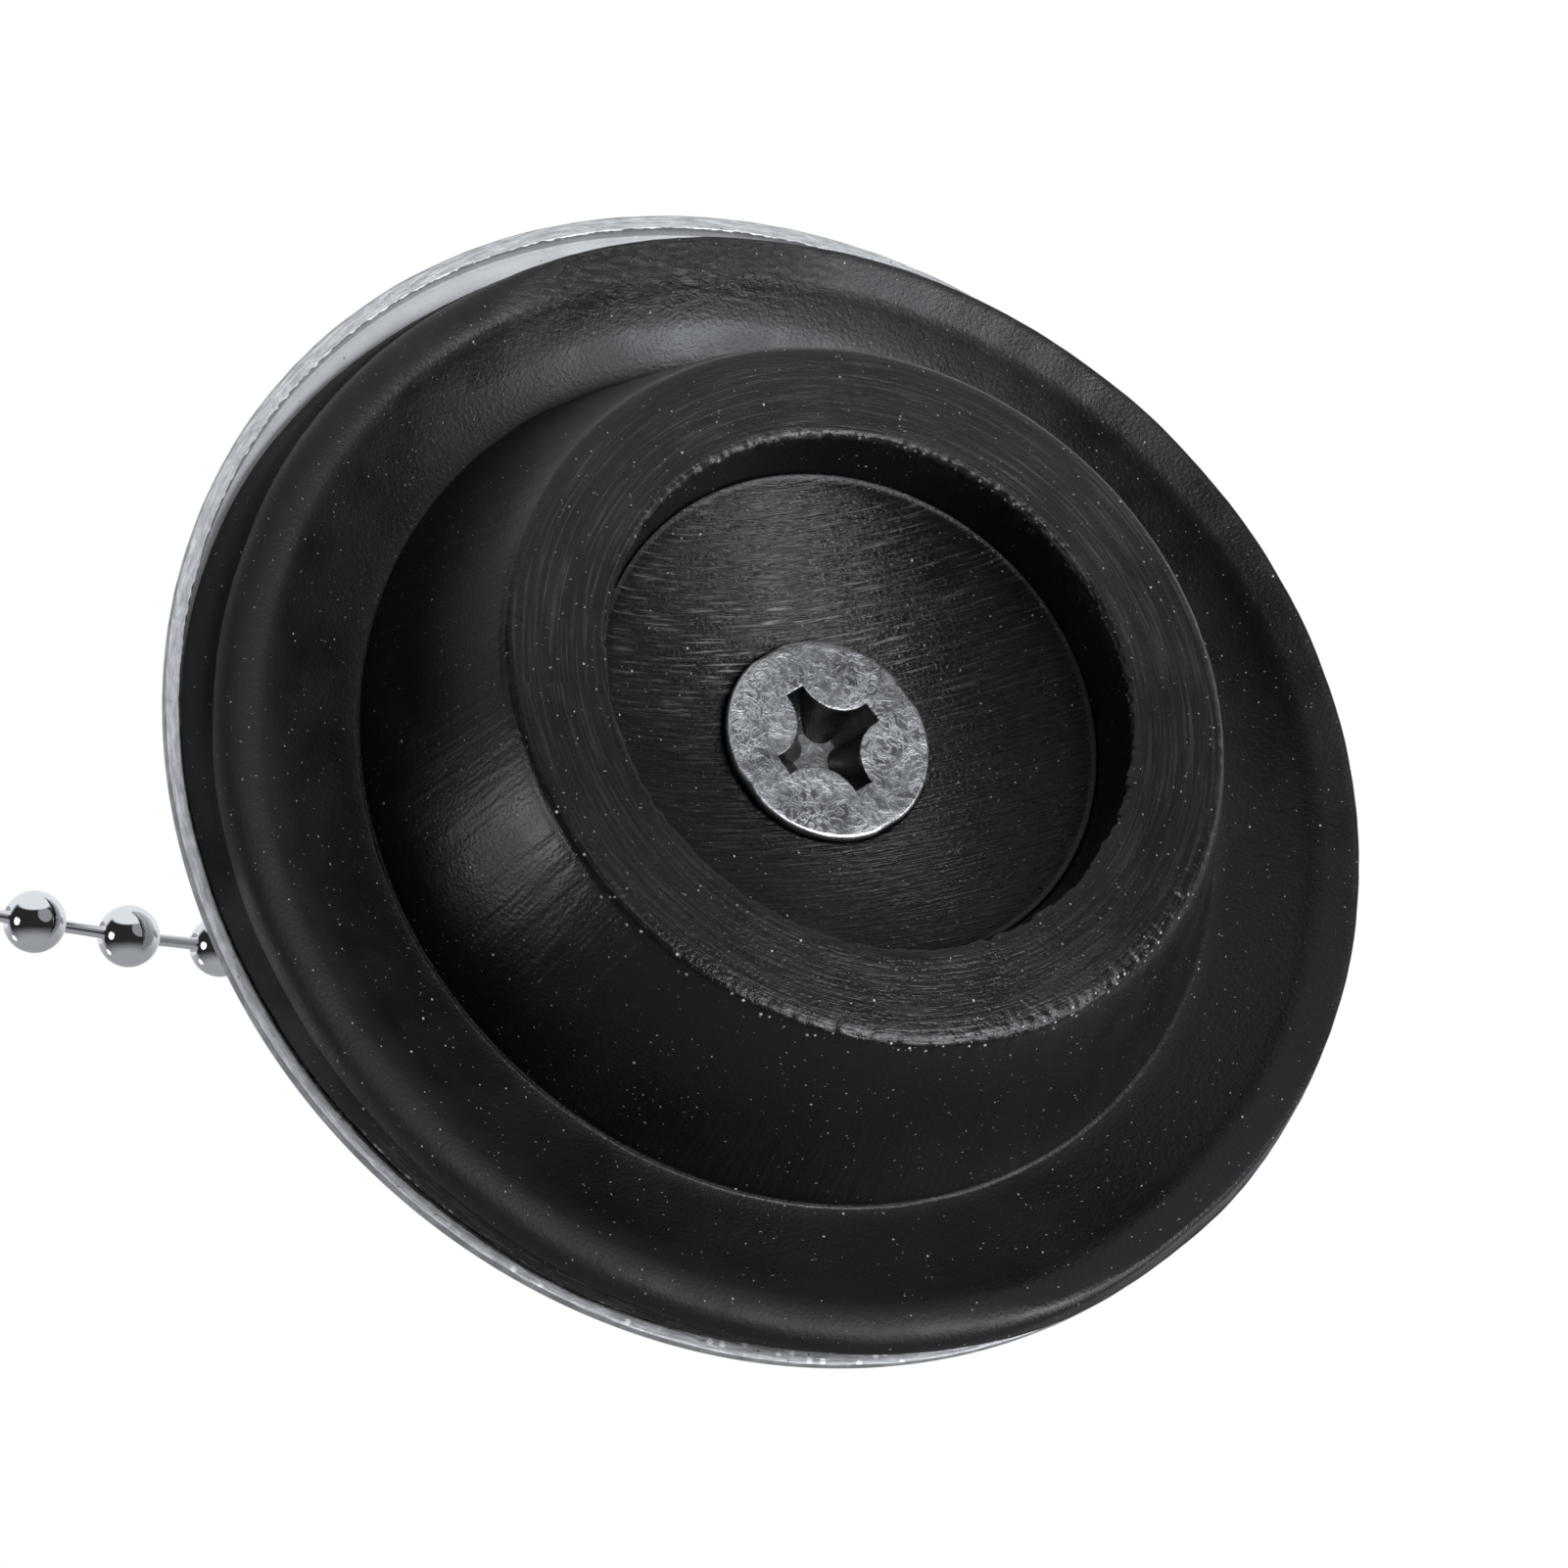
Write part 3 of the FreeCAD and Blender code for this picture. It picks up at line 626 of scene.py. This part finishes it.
def plug_rows():
    """The moulding's profile from the screw's seat round to its bore, as (zone, radius, height)."""
    cover_r = math.hypot(28.1, 10.1 - DOME_CENTRE_Z)
    hub_r, hub_z = 5.9, LAND_Z - CAP_SHEET
    dish_r = (CUP_R**2 + DISH_RISE**2) / (2 * DISH_RISE)
    dish_centre_z = CUP_FLOOR_Z + DISH_RISE - dish_r
    dish_steps = (4.99, 5.06, 5.3, 5.8, 6.4, 7.2, 8.0, 9.0, 10.0, 11.0, 11.5)
    cone_steps = (1.3, 2.2, 3.4, 4.8, 6.2, 7.6, 8.8, 9.5, 9.85)
    under_steps = (0.08, 0.16, 0.26, 0.38, 0.5, 0.62, 0.74, 0.84)
    foot, edge = Vector((SEAT_R, PLUG_H)), Vector(FLANGE_EDGE)
    hollow = Vector((foot.y - edge.y, edge.x - foot.x)).normalized()
    zones = {
        "seat": [(4.96, 6.42)],
        "dish": [(r, dish_centre_z + math.sqrt(dish_r**2 - r**2)) for r in dish_steps],
        "cup_edge": [(11.78, 3.22), (11.90, 3.07), (12.02, 3.06), (12.07, 3.18), (12.11, 3.24), (12.13, 3.0)],
        "wall": [(12.18, 2.6), (12.25, 1.9), (12.33, 1.1), (12.39, 0.6)],
        "mouth": MOUTH,
        "ring": [(r / 10, 0.0) for r in range(133, 160, 6)],
        "tip": TIP,
        "cone": [(TIP_R + (SEAT_R - TIP_R) * z / PLUG_H, z) for z in cone_steps],
        "crease": [(20.92, 10.0), (20.97, 10.08), (21.05, 10.12), (21.15, 10.11)],
        "under": [tuple(foot + (edge - foot) * t + hollow * (t - t * t)) for t in under_steps],
        "lip": LIP,
        "cover": arc(cover_r, DOME_CENTRE_Z, BAND_R, hub_r, 8),
        "hub": [(hub_r, hub_z), (BORE_R, hub_z), (BORE_R, SCREW_NECK_Z)],
    }
    return [(zone, r, z) for zone, points in zones.items() for r, z in points]


def torn_mouth(turn, r, z):
    """The cup's mouth, nicked all round."""
    torn = rough(turn, 7, 1.0) * 0.10 + rough(turn, 26, 2.0) * 0.09 + rough(turn, 70, 2.5) * 0.05
    nick = max(0.0, rough(turn, 16, 3.0) - 0.35) * 0.5
    share = held((MOUTH[-1][0] - r) / 0.4)
    return r + (torn + nick) * share, z + abs(rough(turn, 45, 4.0)) * 0.10 * share


def torn_tip(row, turn, r, z):
    """The end ring's outer corner, bitten most at the bottom of the photo."""
    share = held((r - TIP[0][0]) / 0.35) * held((TIP[-1][0] - r) / 0.15)
    share *= 0.15 + 0.85 * max(0.0, math.cos(turn - math.radians(62))) ** 1.5
    bite = max(0.0, rough(turn, 38, 5.0 + row * 0.23)) * 0.15 * share
    grit = rough(turn, 95, 6.0 + row * 0.31) * 0.07 * share
    return r - bite * 0.5 + grit * 0.5, z + bite * 0.5 + abs(grit)


def slack(turn):
    """How far the soft edge hangs in at the top of the photo."""
    return max(0.0, math.cos(turn + math.radians(90))) ** 1.5 * SLACK


def swell(turn):
    """How far it stands out at the lower left."""
    return window(turn, SWELL_TURNS) * SWELL


def soft_lip(turn, r, z, flat):
    """The flange's edge: flat on the right, flared and lifted on the left, with a groove round it."""
    flat_share = 1 - window(turn, ROUND_LIP_TURNS)
    r += (flat[0] - r) * flat_share
    z += (flat[1] - z) * flat_share
    uneven = rough(turn, 5, 9.0) * 0.06 + rough(turn, 30, 10.0) * 0.02
    above = held((z - 8.8) / 0.24)
    fuller = swell(turn) * (1 - above) + window(turn, BAND_OUT_TURNS) * BAND_OUT * above
    away = math.degrees(turn) % 360 - FLARE_TURN
    flare = max(0.0, math.cos(math.radians(away * (1.15 if away > 0 else 1.0)))) ** 3 * FLARE
    flare *= held((z - GROOVE_Z) / 0.6)
    groove = window(turn, GROOVE_TURNS) * GROOVE_DEPTH if 8.8 < z < 9.1 else 0.0
    lift = window(turn, BAND_LIFT_TURNS) * BAND_LIFT
    lift *= held((z - GROOVE_Z) / 0.47) * held(1.3 - (z - 9.0) / 2)
    r += uneven + fuller + flare - groove - slack(turn)
    return r, z + rough(turn, 14, 11.0) * 0.03 + flare * 0.3 + lift


def plug_mesh():
    """The rubber moulding with its torn edges, crease ridge and parting groove."""
    rows = plug_rows()
    zone_of = [zone for zone, _, _ in rows]
    flat_at = dict(enumerate(FLAT_LIP, zone_of.index("lip")))

    def wobble(row, turn, r, z):
        zone = zone_of[row]
        if zone == "mouth":
            return torn_mouth(turn, r, z)
        if zone == "tip":
            return torn_tip(row, turn, r, z)
        if zone == "crease":
            return r + rough(turn, 9, 7.0) * 0.04, z + rough(turn, 40, 8.0) * 0.015
        if zone == "under":
            return r + (swell(turn) - slack(turn)) * max(0.0, (r - 23.0) / 2.6), z
        if zone == "lip":
            return soft_lip(turn, r, z, flat_at.get(row, (r, z)))
        return r, z

    work = bmesh.new()
    lathe(work, [(r, z) for _, r, z in rows], 720, True, wobble)
    return finish_mesh(work, "plug_look", 55)


# Cap, screw, post and rings

def cap_mesh():
    """The pressed cap, with its sheared edge a little uneven."""
    inner_r = DOME_R - CAP_SHEET
    wall_r = CAP_R - CAP_SHEET
    under_z = LAND_Z - CAP_SHEET
    under_r = math.sqrt(inner_r**2 - (under_z - DOME_CENTRE_Z) ** 2)
    hole_r, hole_chamfer = 3.7, 0.1
    outside = rounded(
        [(wall_r, CAP_EDGE_Z), (wall_r + 0.08, CAP_EDGE_Z), (CAP_R - 0.13, CAP_EDGE_Z), (CAP_R, CAP_EDGE_Z),
         (CAP_R, DOME_FOOT_Z), (CAP_R - 2.0, DOME_FOOT_Z + 0.68)],
        [0.05, 0.0, 0.0, 0.1, 0.8, 0.0],
    )[0:-1]
    dome = arc(DOME_R, DOME_CENTRE_Z, CAP_R - 1.6, LAND_R, 24)
    land = [(LAND_R - 0.1, LAND_Z), (hole_r + hole_chamfer, LAND_Z), (hole_r, LAND_Z - hole_chamfer),
            (hole_r, under_z), (under_r, under_z)]
    inside = arc(inner_r, DOME_CENTRE_Z, under_r + 0.1, wall_r - 0.4, 24)
    corner = [(wall_r - 0.1, DOME_FOOT_Z - 0.30), (wall_r, DOME_FOOT_Z - 0.5)]

    def wobble(row, turn, r, z):
        if z >= CAP_EDGE_Z + 0.35:
            return r, z
        torn = rough(turn, 70, 23.0) * 0.08 + rough(turn, 190, 24.0) * 0.05 if r < wall_r + 0.1 else 0.0
        return r + rough(turn, 22, 20.0) * 0.03 + torn, z + rough(turn, 60, 22.0) * 0.02

    work = bmesh.new()
    lathe(work, outside + dome + land + inside + corner, 960, True, wobble, Matrix.Translation(CAP_SHIFT))
    return finish_mesh(work, "cap_look", 50)


def recess_outline():
    """The cross recess from below, as (point, angle): four straight tips with round lobes between."""
    tip, half, near, steps = 2.72, 0.5, 1.52, 22
    far = (tip**2 + half**2 - near**2) / (math.sqrt(2) * (tip + half) - 2 * near)
    centre = Vector((far, far)) / math.sqrt(2)
    start = math.atan2(half - centre.y, tip - centre.x)
    end = math.atan2(tip - centre.y, half - centre.x) - 2 * math.pi
    corner = math.atan2(half, tip)
    outline = []
    for quarter in range(4):
        spin = math.radians(-29 + 90 * quarter)
        for i in range(steps + 1):
            turn = start + (end - start) * i / steps
            point = centre + Vector((math.cos(turn), math.sin(turn))) * (far - near)
            angle = spin + corner + (math.pi / 2 - 2 * corner) * i / steps
            outline.append((Matrix.Rotation(spin, 2) @ point, angle))
    return outline


def screw_mesh():
    """The countersunk head with its cross recess, and the shank."""
    outline = recess_outline()
    shank_r, shank_chamfer, shank_top_z = 2.5, 0.5, 21.85
    # Radius, or scale of the cross, and depth behind the face
    head_rows = [(SCREW_R, 0.40), (SCREW_R, 0.15), (4.90, 0.08), (4.85, 0.03), (4.78, 0.005), (4.72, 0.0),
                 (4.5, 0.0)]
    cross_rows = [(1.10, 0.0), (1.03, 0.0), (1.01, 0.012), (0.997, 0.04), (0.985, 0.25), (0.86, 0.85),
                  (0.66, 1.45), (0.42, 1.95)]
    round_rows = [(shank_r - shank_chamfer, shank_top_z), (shank_r, shank_top_z - shank_chamfer),
                  (shank_r, SCREW_NECK_Z)]
    round_rows += [(r, SCREW_FACE_Z + depth) for r, depth in head_rows]
    work = bmesh.new()
    rings = []
    for r, z in round_rows:
        rings.append([work.verts.new((r * math.cos(turn), r * math.sin(turn), z)) for _, turn in outline])
    for scale, depth in cross_rows:
        rings.append([work.verts.new((p.x * scale, p.y * scale, SCREW_FACE_Z + depth)) for p, _ in outline])
    skin(work, rings, False)
    return finish_mesh(work, "screw_look", 35)


def post_mesh(eye_z):
    """The round nut with its eye: a turned body and a turned ring across it."""
    base_r, neck_r, axis_r = 5.5, 3.5, 0.02
    base_top = LAND_Z + 1.1
    neck_top = eye_z - 2.4
    bore_top = neck_top - 1.0
    body = rounded(
        [(BORE_R, LAND_Z), (base_r, LAND_Z), (base_r, base_top), (neck_r, base_top), (neck_r, neck_top),
         (axis_r, neck_top), (axis_r, bore_top), (BORE_R, bore_top)],
        [0, 0.1, 0.4, 1.0, 0.9, 0, 0, 0],
    )
    eye_r, bore_r, flat_r, chamfer, half = 4.0, 1.8, 3.7081, 0.3, 1.5
    slab = [(bore_r, chamfer - half), (bore_r, half - chamfer), (bore_r + chamfer, half)]
    slab += rounded(
        [(bore_r + chamfer, half), (flat_r, half), (eye_r, 0.0), (flat_r, -half), (bore_r + chamfer, -half)],
        [0, 0.5, 6.0, 0.5, 0], 8,
    )[1:]
    turn = Matrix.Rotation(math.radians(159), 4, "Z") @ Matrix.Rotation(math.pi / 2, 4, "X")
    work = bmesh.new()
    lathe(work, body, 96)
    lathe(work, slab, 96, True, None, Matrix.Translation((0, 0, eye_z)) @ turn)
    return finish_mesh(work, "post_look", 40)


def ring_mesh(name, node, wire_r, middle_r):
    """A ring of bent wire with its butt joint, laid in the plane of its CAD node."""
    centre, normal = ring_plane(node)
    first = normal.orthogonal().normalized()
    second = normal.cross(first)
    gap = 0.1 / middle_r
    steps = 96
    points = []
    for i in range(steps + 1):
        turn = gap + (2 * math.pi - 2 * gap) * i / steps
        points.append(centre + (first * math.cos(turn) + second * math.sin(turn)) * middle_r)
    work = bmesh.new()
    tube(work, points, 20, wire_r)
    return finish_mesh(work, name, 50)


def middle_of(points):
    """Middle of the box round some points."""
    low = Vector([min(p[i] for p in points) for i in range(3)])
    high = Vector([max(p[i] for p in points) for i in range(3)])
    return (low + high) / 2


def ring_plane(node):
    """Middle and normal of a ring's CAD node."""
    points = [vertex.co / MM for vertex in frame["nodes"][node].data.vertices]
    centre = middle_of(points)
    normal = Vector()
    far = [p - centre for p in points]
    first = max(far, key=lambda p: p.length)
    for p in far:
        cross = first.cross(p)
        if cross.length > normal.length:
            normal = cross
    return centre, normal.normalized()


# Chain

def islands(node):
    """Middles of a CAD node's separate solids."""
    work = bmesh.new()
    work.from_mesh(frame["nodes"][node].data)
    bmesh.ops.remove_doubles(work, verts=work.verts[:], dist=1e-7)
    seen = set()
    middles = []
    for start in work.verts:
        if start in seen:
            continue
        stack = [start]
        seen.add(start)
        found = []
        while stack:
            vertex = stack.pop()
            found.append(vertex.co / MM)
            for edge in vertex.link_edges:
                other = edge.other_vert(vertex)
                if other not in seen:
                    seen.add(other)
                    stack.append(other)
        middles.append(middle_of(found))
    work.free()
    return middles


def in_order(start, middles):
    """Points in the order of a walk from start to the nearest next one."""
    left = list(middles)
    here = start
    out = []
    while left:
        here = min(left, key=lambda p: (p - here).length)
        left.remove(here)
        out.append(here)
    return out


def bead_profile(rows):
    """Half section of a bead along Z, with its holes curled in."""
    curl = [(0.42, 0.95), (0.44, 1.12), (0.46, 1.21)]
    start = math.asin(BEAD_HOLE_R / BEAD_R)
    points = [(r, -z) for r, z in curl]
    for i in range(rows + 1):
        turn = start + (math.pi - 2 * start) * i / rows
        points.append((BEAD_R * math.sin(turn), -BEAD_R * math.cos(turn)))
    return points + curl[::-1]


def set_along(place, axis):
    """Z turned along an axis, at a place."""
    return Matrix.Translation(place) @ axis.to_track_quat("Z", "Y").to_matrix().to_4x4()


def beads_mesh(name, places, axes, around, rows):
    work = bmesh.new()
    for place, axis in zip(places, axes):
        lathe(work, bead_profile(rows), around, True, None, set_along(place, axis))
    return finish_mesh(work, name, 60)


def links_mesh(name, ends, around):
    """Wires between beads, each with a head at both ends."""
    head = [(0.02, 0.0), (0.40, 0.1), (0.45, 0.35), (0.30, 0.55), (0.27, 0.7)]
    waist_r = 0.262
    work = bmesh.new()
    for a, b in ends:
        along = b - a
        half = along.length / 2
        profile = [(r, depth - half) for r, depth in head] + [(waist_r, 0.0)]
        profile += [(r, half - depth) for r, depth in reversed(head)]
        lathe(work, profile, around, False, None, set_along((a + b) / 2, along))
    return finish_mesh(work, name, 60)


def clasp_mesh(name, eye, bead, level):
    """A folded clasp: an eye plate, a neck and a slotted cup round the caught bead."""
    along = (bead - eye).normalized()
    side = level.normalized()
    up = along.cross(side).normalized()
    reach = (bead - eye).length
    base = Matrix((along, side, up)).transposed().to_4x4()
    base.translation = eye
    eye_r, bore_r, half_plate, half_neck = 2.0, 1.05, 0.3, 0.8
    plate = rounded(
        [(bore_r, -half_plate), (eye_r, -half_plate), (eye_r, half_plate), (bore_r, half_plate)],
        [0.1, 0.12, 0.12, 0.1], 3,
    )
    section = rounded(
        [(-half_plate, -half_neck), (half_plate, -half_neck), (half_plate, half_neck),
         (-half_plate, half_neck)],
        [0.14] * 4, 4,
    )
    cup_r, cup_sheet, mouth_r, steps = 1.925, 0.4, 0.95, 28
    mouth = math.asin(mouth_r / cup_r)
    back = math.pi - 0.02
    outer = [mouth + (back - mouth) * i / steps for i in range(steps + 1)]
    inner = [back - (back - mouth * 1.25) * i / steps for i in range(steps + 1)]
    cup = [(cup_r * math.sin(t), cup_r * math.cos(t)) for t in outer]
    cup += [((cup_r - cup_sheet) * math.sin(t), (cup_r - cup_sheet) * math.cos(t)) for t in inner]
    at_bead = Matrix.Translation((reach, 0, 0)) @ Matrix.Rotation(math.pi / 2, 4, "Y")

    work = bmesh.new()
    lathe(work, plate, 64, True, None, base @ Matrix.Rotation(math.pi / 2, 4, "X"))
    neck = []
    for step, waist in ((-0.95, 1.0), (-0.6, 0.94), (-0.2, 0.88), (0.2, 0.88), (0.6, 0.94), (0.95, 1.0)):
        neck.append([work.verts.new(base @ Vector((reach / 2 + step, s, u * waist))) for s, u in section])
    skin(work, neck, False)
    lathe(work, cup, 64, True, None, base @ at_bead)
    return finish_mesh(work, name, 45)


def tie_mesh(coil_middle):
    """A coated wire loop round the coil's layers, with its ends twisted together outside."""
    wire_r, end_r, twist_r = 0.4, 0.34, 0.40
    low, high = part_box("coil_tie")
    low, high = Vector(low) / MM, Vector(high) / MM
    centre = (low + high) / 2
    inward = Vector((coil_middle.x - centre.x, coil_middle.y - centre.y, 0)).normalized()
    up = Vector((0, 0, 1))
    side = inward.cross(up)
    half = (high.z - low.z) / 2 - 1.4
    loop = []
    for i in range(48):
        turn = 2 * math.pi * i / 48
        straight = half if math.sin(turn) >= 0 else -half
        loop.append(centre + inward * math.cos(turn) + up * (math.sin(turn) + straight))
    work = bmesh.new()
    tube(work, loop, 12, wire_r, True)
    for phase in (0, math.pi):
        twist = []
        for i in range(40):
            turn = phase + i * 0.42
            out = centre - inward * (1.2 + i * 0.085)
            twist.append(out + (side * math.cos(turn) + up * math.sin(turn)) * twist_r)
        tube(work, twist, 10, end_r)
    return finish_mesh(work, "tie_look", 60)


# Places along the chain, from the CAD nodes
free_nodes = sorted(node for node in frame["nodes"] if node.startswith("chain_bead_"))
coil_nodes = [node for node in frame["nodes"] if node.startswith("coil_turn_")]
turn_nodes = sorted(node for node in coil_nodes if node.endswith("_beads"))
chain = [islands(node)[0] for node in free_nodes]
spans = {}
for node in turn_nodes + ["tail_beads", "end_bead"]:
    start = len(chain)
    chain += in_order(chain[-1], islands(node))
    spans[node] = (start, len(chain))
coil_beads = chain[spans[turn_nodes[0]][0]:spans[turn_nodes[-1]][1]]
axes = [chain[1] - chain[0]]
axes += [chain[i + 1] - chain[i - 1] for i in range(1, len(chain) - 1)]
axes += [chain[-1] - chain[-2]]
axes = [axis.normalized() for axis in axes]
head_starts = [bead + axis * HEAD_OUT for bead, axis in zip(chain, axes)]
head_ends = [bead - axis * HEAD_OUT for bead, axis in zip(chain, axes)]
link_ends = list(zip(head_starts, head_ends[1:]))

hinges = {joint["name"]: joint for joint in frame["joints"]}
eye_place = Vector(hinges["ring_swing"]["pos_m"]) / MM
ring_far = Vector(hinges["clasp_swing"]["pos_m"]) / MM
end_near = Vector(hinges["end_ring_lift"]["pos_m"]) / MM
clasp_along = (chain[0] - ring_far).normalized()
end_along = Vector((end_near.x - chain[-1].x, end_near.y - chain[-1].y, 0)).normalized()

# Pieces
stand_for("rubber_plug", plug_mesh())
stand_for("dome_cap", cap_mesh())
stand_for("clamp_screw", screw_mesh())
stand_for("chain_post", post_mesh(eye_place.z))
stand_for("post_ring", ring_mesh("post_ring_look", "post_ring", 0.55, 3.8))
stand_for("end_ring", ring_mesh("end_ring_look", "end_ring", 0.6, 5.5))
stand_for("top_clasp", clasp_mesh("top_clasp_look", ring_far + clasp_along * CLASP_PLAY, chain[0],
                                  Vector((0, 0, 1)).cross(clasp_along)))
stand_for("end_clasp", clasp_mesh("end_clasp_look", end_near - end_along * CLASP_PLAY, chain[-1],
                                  Vector((0, 0, 1)).cross(end_along)))
for number, node in enumerate(free_nodes):
    stand_for(node, beads_mesh(node + "_look", [chain[number]], [axes[number]], 48, 26))
    link_node = node.replace("bead", "link")
    stand_for(link_node, links_mesh(link_node + "_look", [link_ends[number]], 20))
for node, (first, last) in spans.items():
    stand_for(node, beads_mesh(node + "_look", chain[first:last], axes[first:last], 28, 14))
    if node != "end_bead":
        link_node = node.replace("beads", "links")
        stand_for(link_node, links_mesh(link_node + "_look", link_ends[first:last], 10))
stand_for("coil_tie", tie_mesh(sum(coil_beads, Vector()) / len(coil_beads)))

# Polished beads mirror the studio, not each other
for node, piece in looks.items():
    piece.visible_glossy = SLOT_OF[node] not in ("chain_bead", "chain_link", "tie_coat")


# Stage, light and camera

def from_view(right, up, near):
    """A direction given as the photo's camera sees it."""
    return VIEW_RIGHT * right - VIEW_DOWN * up - VIEW_FORWARD * near


def floor_piece():
    """A pale floor that shows only from above and keeps the shadow."""
    mesh = bpy.data.meshes.new("floor")
    reach = 1.5
    corners = [(-reach, -reach, 0), (reach, -reach, 0), (reach, reach, 0), (-reach, reach, 0)]
    mesh.from_pydata(corners, [], [(0, 1, 2, 3)])
    floor = bpy.data.objects.new("floor", mesh)
    bpy.context.scene.collection.objects.link(floor)
    floor.location.z = -0.02 * MM
    m = Maker("floor")
    cloud = m.noise(m.place()[0], 0.01, 2.0)
    m.done(m.mix(cloud, grey(0.80), grey(0.83)), 0.6)
    clear = m.node("ShaderNodeBsdfTransparent")
    path = m.node("ShaderNodeLightPath")
    back = m.node("ShaderNodeNewGeometry").outputs["Backfacing"]
    blend = m.node("ShaderNodeMixShader")
    m.feed(blend.inputs[0], m.most(back, path.outputs["Is Shadow Ray"]))
    m.feed(blend.inputs[1], m.shader.outputs[0])
    m.feed(blend.inputs[2], clear.outputs[0])
    m.feed(m.tree.nodes["Material Output"].inputs["Surface"], blend.outputs[0])
    mesh.materials.append(m.material)
    floor.visible_diffuse = False
    floor.visible_glossy = False


def studio_world():
    """White to the camera; to polished metal a pale studio with a dark room behind the camera."""
    world = bpy.data.worlds.new("studio")
    bpy.context.scene.world = world
    world.use_nodes = True
    tree = world.node_tree
    tree.nodes.clear()
    coordinates = tree.nodes.new("ShaderNodeTexCoord")

    def toward(direction, low, high, to_low, to_high):
        dot = tree.nodes.new("ShaderNodeVectorMath")
        dot.operation = "DOT_PRODUCT"
        tree.links.new(coordinates.outputs["Generated"], dot.inputs[0])
        dot.inputs[1].default_value = direction.normalized()
        step = tree.nodes.new("ShaderNodeMapRange")
        step.interpolation_type = "SMOOTHSTEP"
        for name, value in (("From Min", low), ("From Max", high), ("To Min", to_low), ("To Max", to_high)):
            step.inputs[name].default_value = value
        tree.links.new(dot.outputs["Value"], step.inputs["Value"])
        return step.outputs[0]

    def joined(operation, a, b):
        node = tree.nodes.new("ShaderNodeMath")
        node.operation = operation
        tree.links.new(a, node.inputs[0])
        tree.links.new(b, node.inputs[1])
        return node.outputs[0]

    def times(a, b):
        return joined("MULTIPLY", a, b)

    def plus(a, b):
        return joined("ADD", a, b)

    def lift(value, scale, add):
        node = tree.nodes.new("ShaderNodeMath")
        node.operation = "MULTIPLY_ADD"
        tree.links.new(value, node.inputs[0])
        node.inputs[1].default_value = scale
        node.inputs[2].default_value = add
        return node.outputs[0]

    def backdrop(colour):
        node = tree.nodes.new("ShaderNodeBackground")
        node.inputs["Color"].default_value = colour
        return node

    def either(choice, no, yes):
        node = tree.nodes.new("ShaderNodeMixShader")
        for socket, value in zip(node.inputs, (choice, no, yes)):
            tree.links.new(value, socket)
        return node.outputs[0]

    up = -VIEW_DOWN
    near = -VIEW_FORWARD
    level = times(toward(up, 0.77, 0.68, 0.0, 1.0), toward(up, -0.88, -0.25, 0.0, 1.0))
    dark = times(level, toward(near, -0.25, 0.05, 0.0, 1.0))
    pale = toward(up, -0.6, 0.3, 0.38, 0.92)
    room = lift(times(pale, lift(dark, -1.0, 1.0)), 1.0, 0.025)
    umbrella = times(dark, toward(from_view(0.70, 0.44, 0.55), 0.885, 0.915, 0.0, 0.30))
    flash = toward(from_view(-0.85, 0.05, 0.51), 0.975, 0.985, 0.0, 3.0)
    daylight = toward(from_view(-0.77, -0.61, -0.20), 0.990, 0.995, 0.0, 2.0)

    mirrored = backdrop(DAYLIGHT)
    tree.links.new(plus(plus(room, umbrella), plus(flash, daylight)), mirrored.inputs["Strength"])
    plain = backdrop(DAYLIGHT)
    plain.inputs["Strength"].default_value = 0.40
    white = backdrop((1, 1, 1, 1))
    path = tree.nodes.new("ShaderNodeLightPath")
    output = tree.nodes.new("ShaderNodeOutputWorld")
    lit = either(path.outputs["Is Glossy Ray"], plain.outputs[0], mirrored.outputs[0])
    seen = either(path.outputs["Is Camera Ray"], lit, white.outputs[0])
    tree.links.new(seen, output.inputs["Surface"])


def lamp(name, direction, distance, size, power, nodes=(), mirrored=True):
    """A soft box that faces the stopper, for all of it or some nodes, and that metal mirrors or not."""
    data = bpy.data.lights.new(name, "AREA")
    data.shape = "RECTANGLE"
    data.size, data.size_y = size
    data.energy = power
    data.color = DAYLIGHT[:3]
    light = bpy.data.objects.new(name, data)
    bpy.context.scene.collection.objects.link(light)
    back = direction.normalized()
    light.location = Vector((0, 0, 0.01)) + back * distance
    light.rotation_mode = "QUATERNION"
    light.rotation_quaternion = (-back).to_track_quat("-Z", "Y")
    light.visible_camera = False
    light.visible_glossy = mirrored
    if nodes:
        lit = bpy.data.collections.new(name + "_lit")
        for node in nodes:
            lit.objects.link(looks[node])
        light.light_linking.receiver_collection = lit


floor_piece()
studio_world()
lamp("key", from_view(0.68, 0.12, 0.70), distance=0.55, size=(0.22, 0.30), power=3.8,
     nodes=("rubber_plug", "dome_cap", "clamp_screw"))
lamp("side", from_view(-0.93, -0.20, 0.15), distance=0.50, size=(0.10, 0.36), power=1.3,
     nodes=("rubber_plug",))
lamp("fill", from_view(0.90, -0.35, 0.25), distance=0.50, size=(0.10, 0.30), power=1.1,
     nodes=("rubber_plug",))
lamp("top", Vector((-0.35, -0.45, 0.82)), distance=0.60, size=(0.75, 0.75), power=2.4, mirrored=False)

camera = bpy.data.objects.new("camera", bpy.data.cameras.new("camera"))
bpy.context.scene.collection.objects.link(camera)
camera.data.lens = LENS
camera.data.sensor_width = SENSOR
camera.data.clip_start = 0.005
camera.data.clip_end = 20.0
turned = Matrix((VIEW_RIGHT, -VIEW_DOWN, -VIEW_FORWARD)).transposed().to_4x4()
turned.translation = VIEW_PLACE
camera.matrix_world = turned
bpy.context.scene.camera = camera
bpy.context.scene.view_settings.view_transform = "Standard"
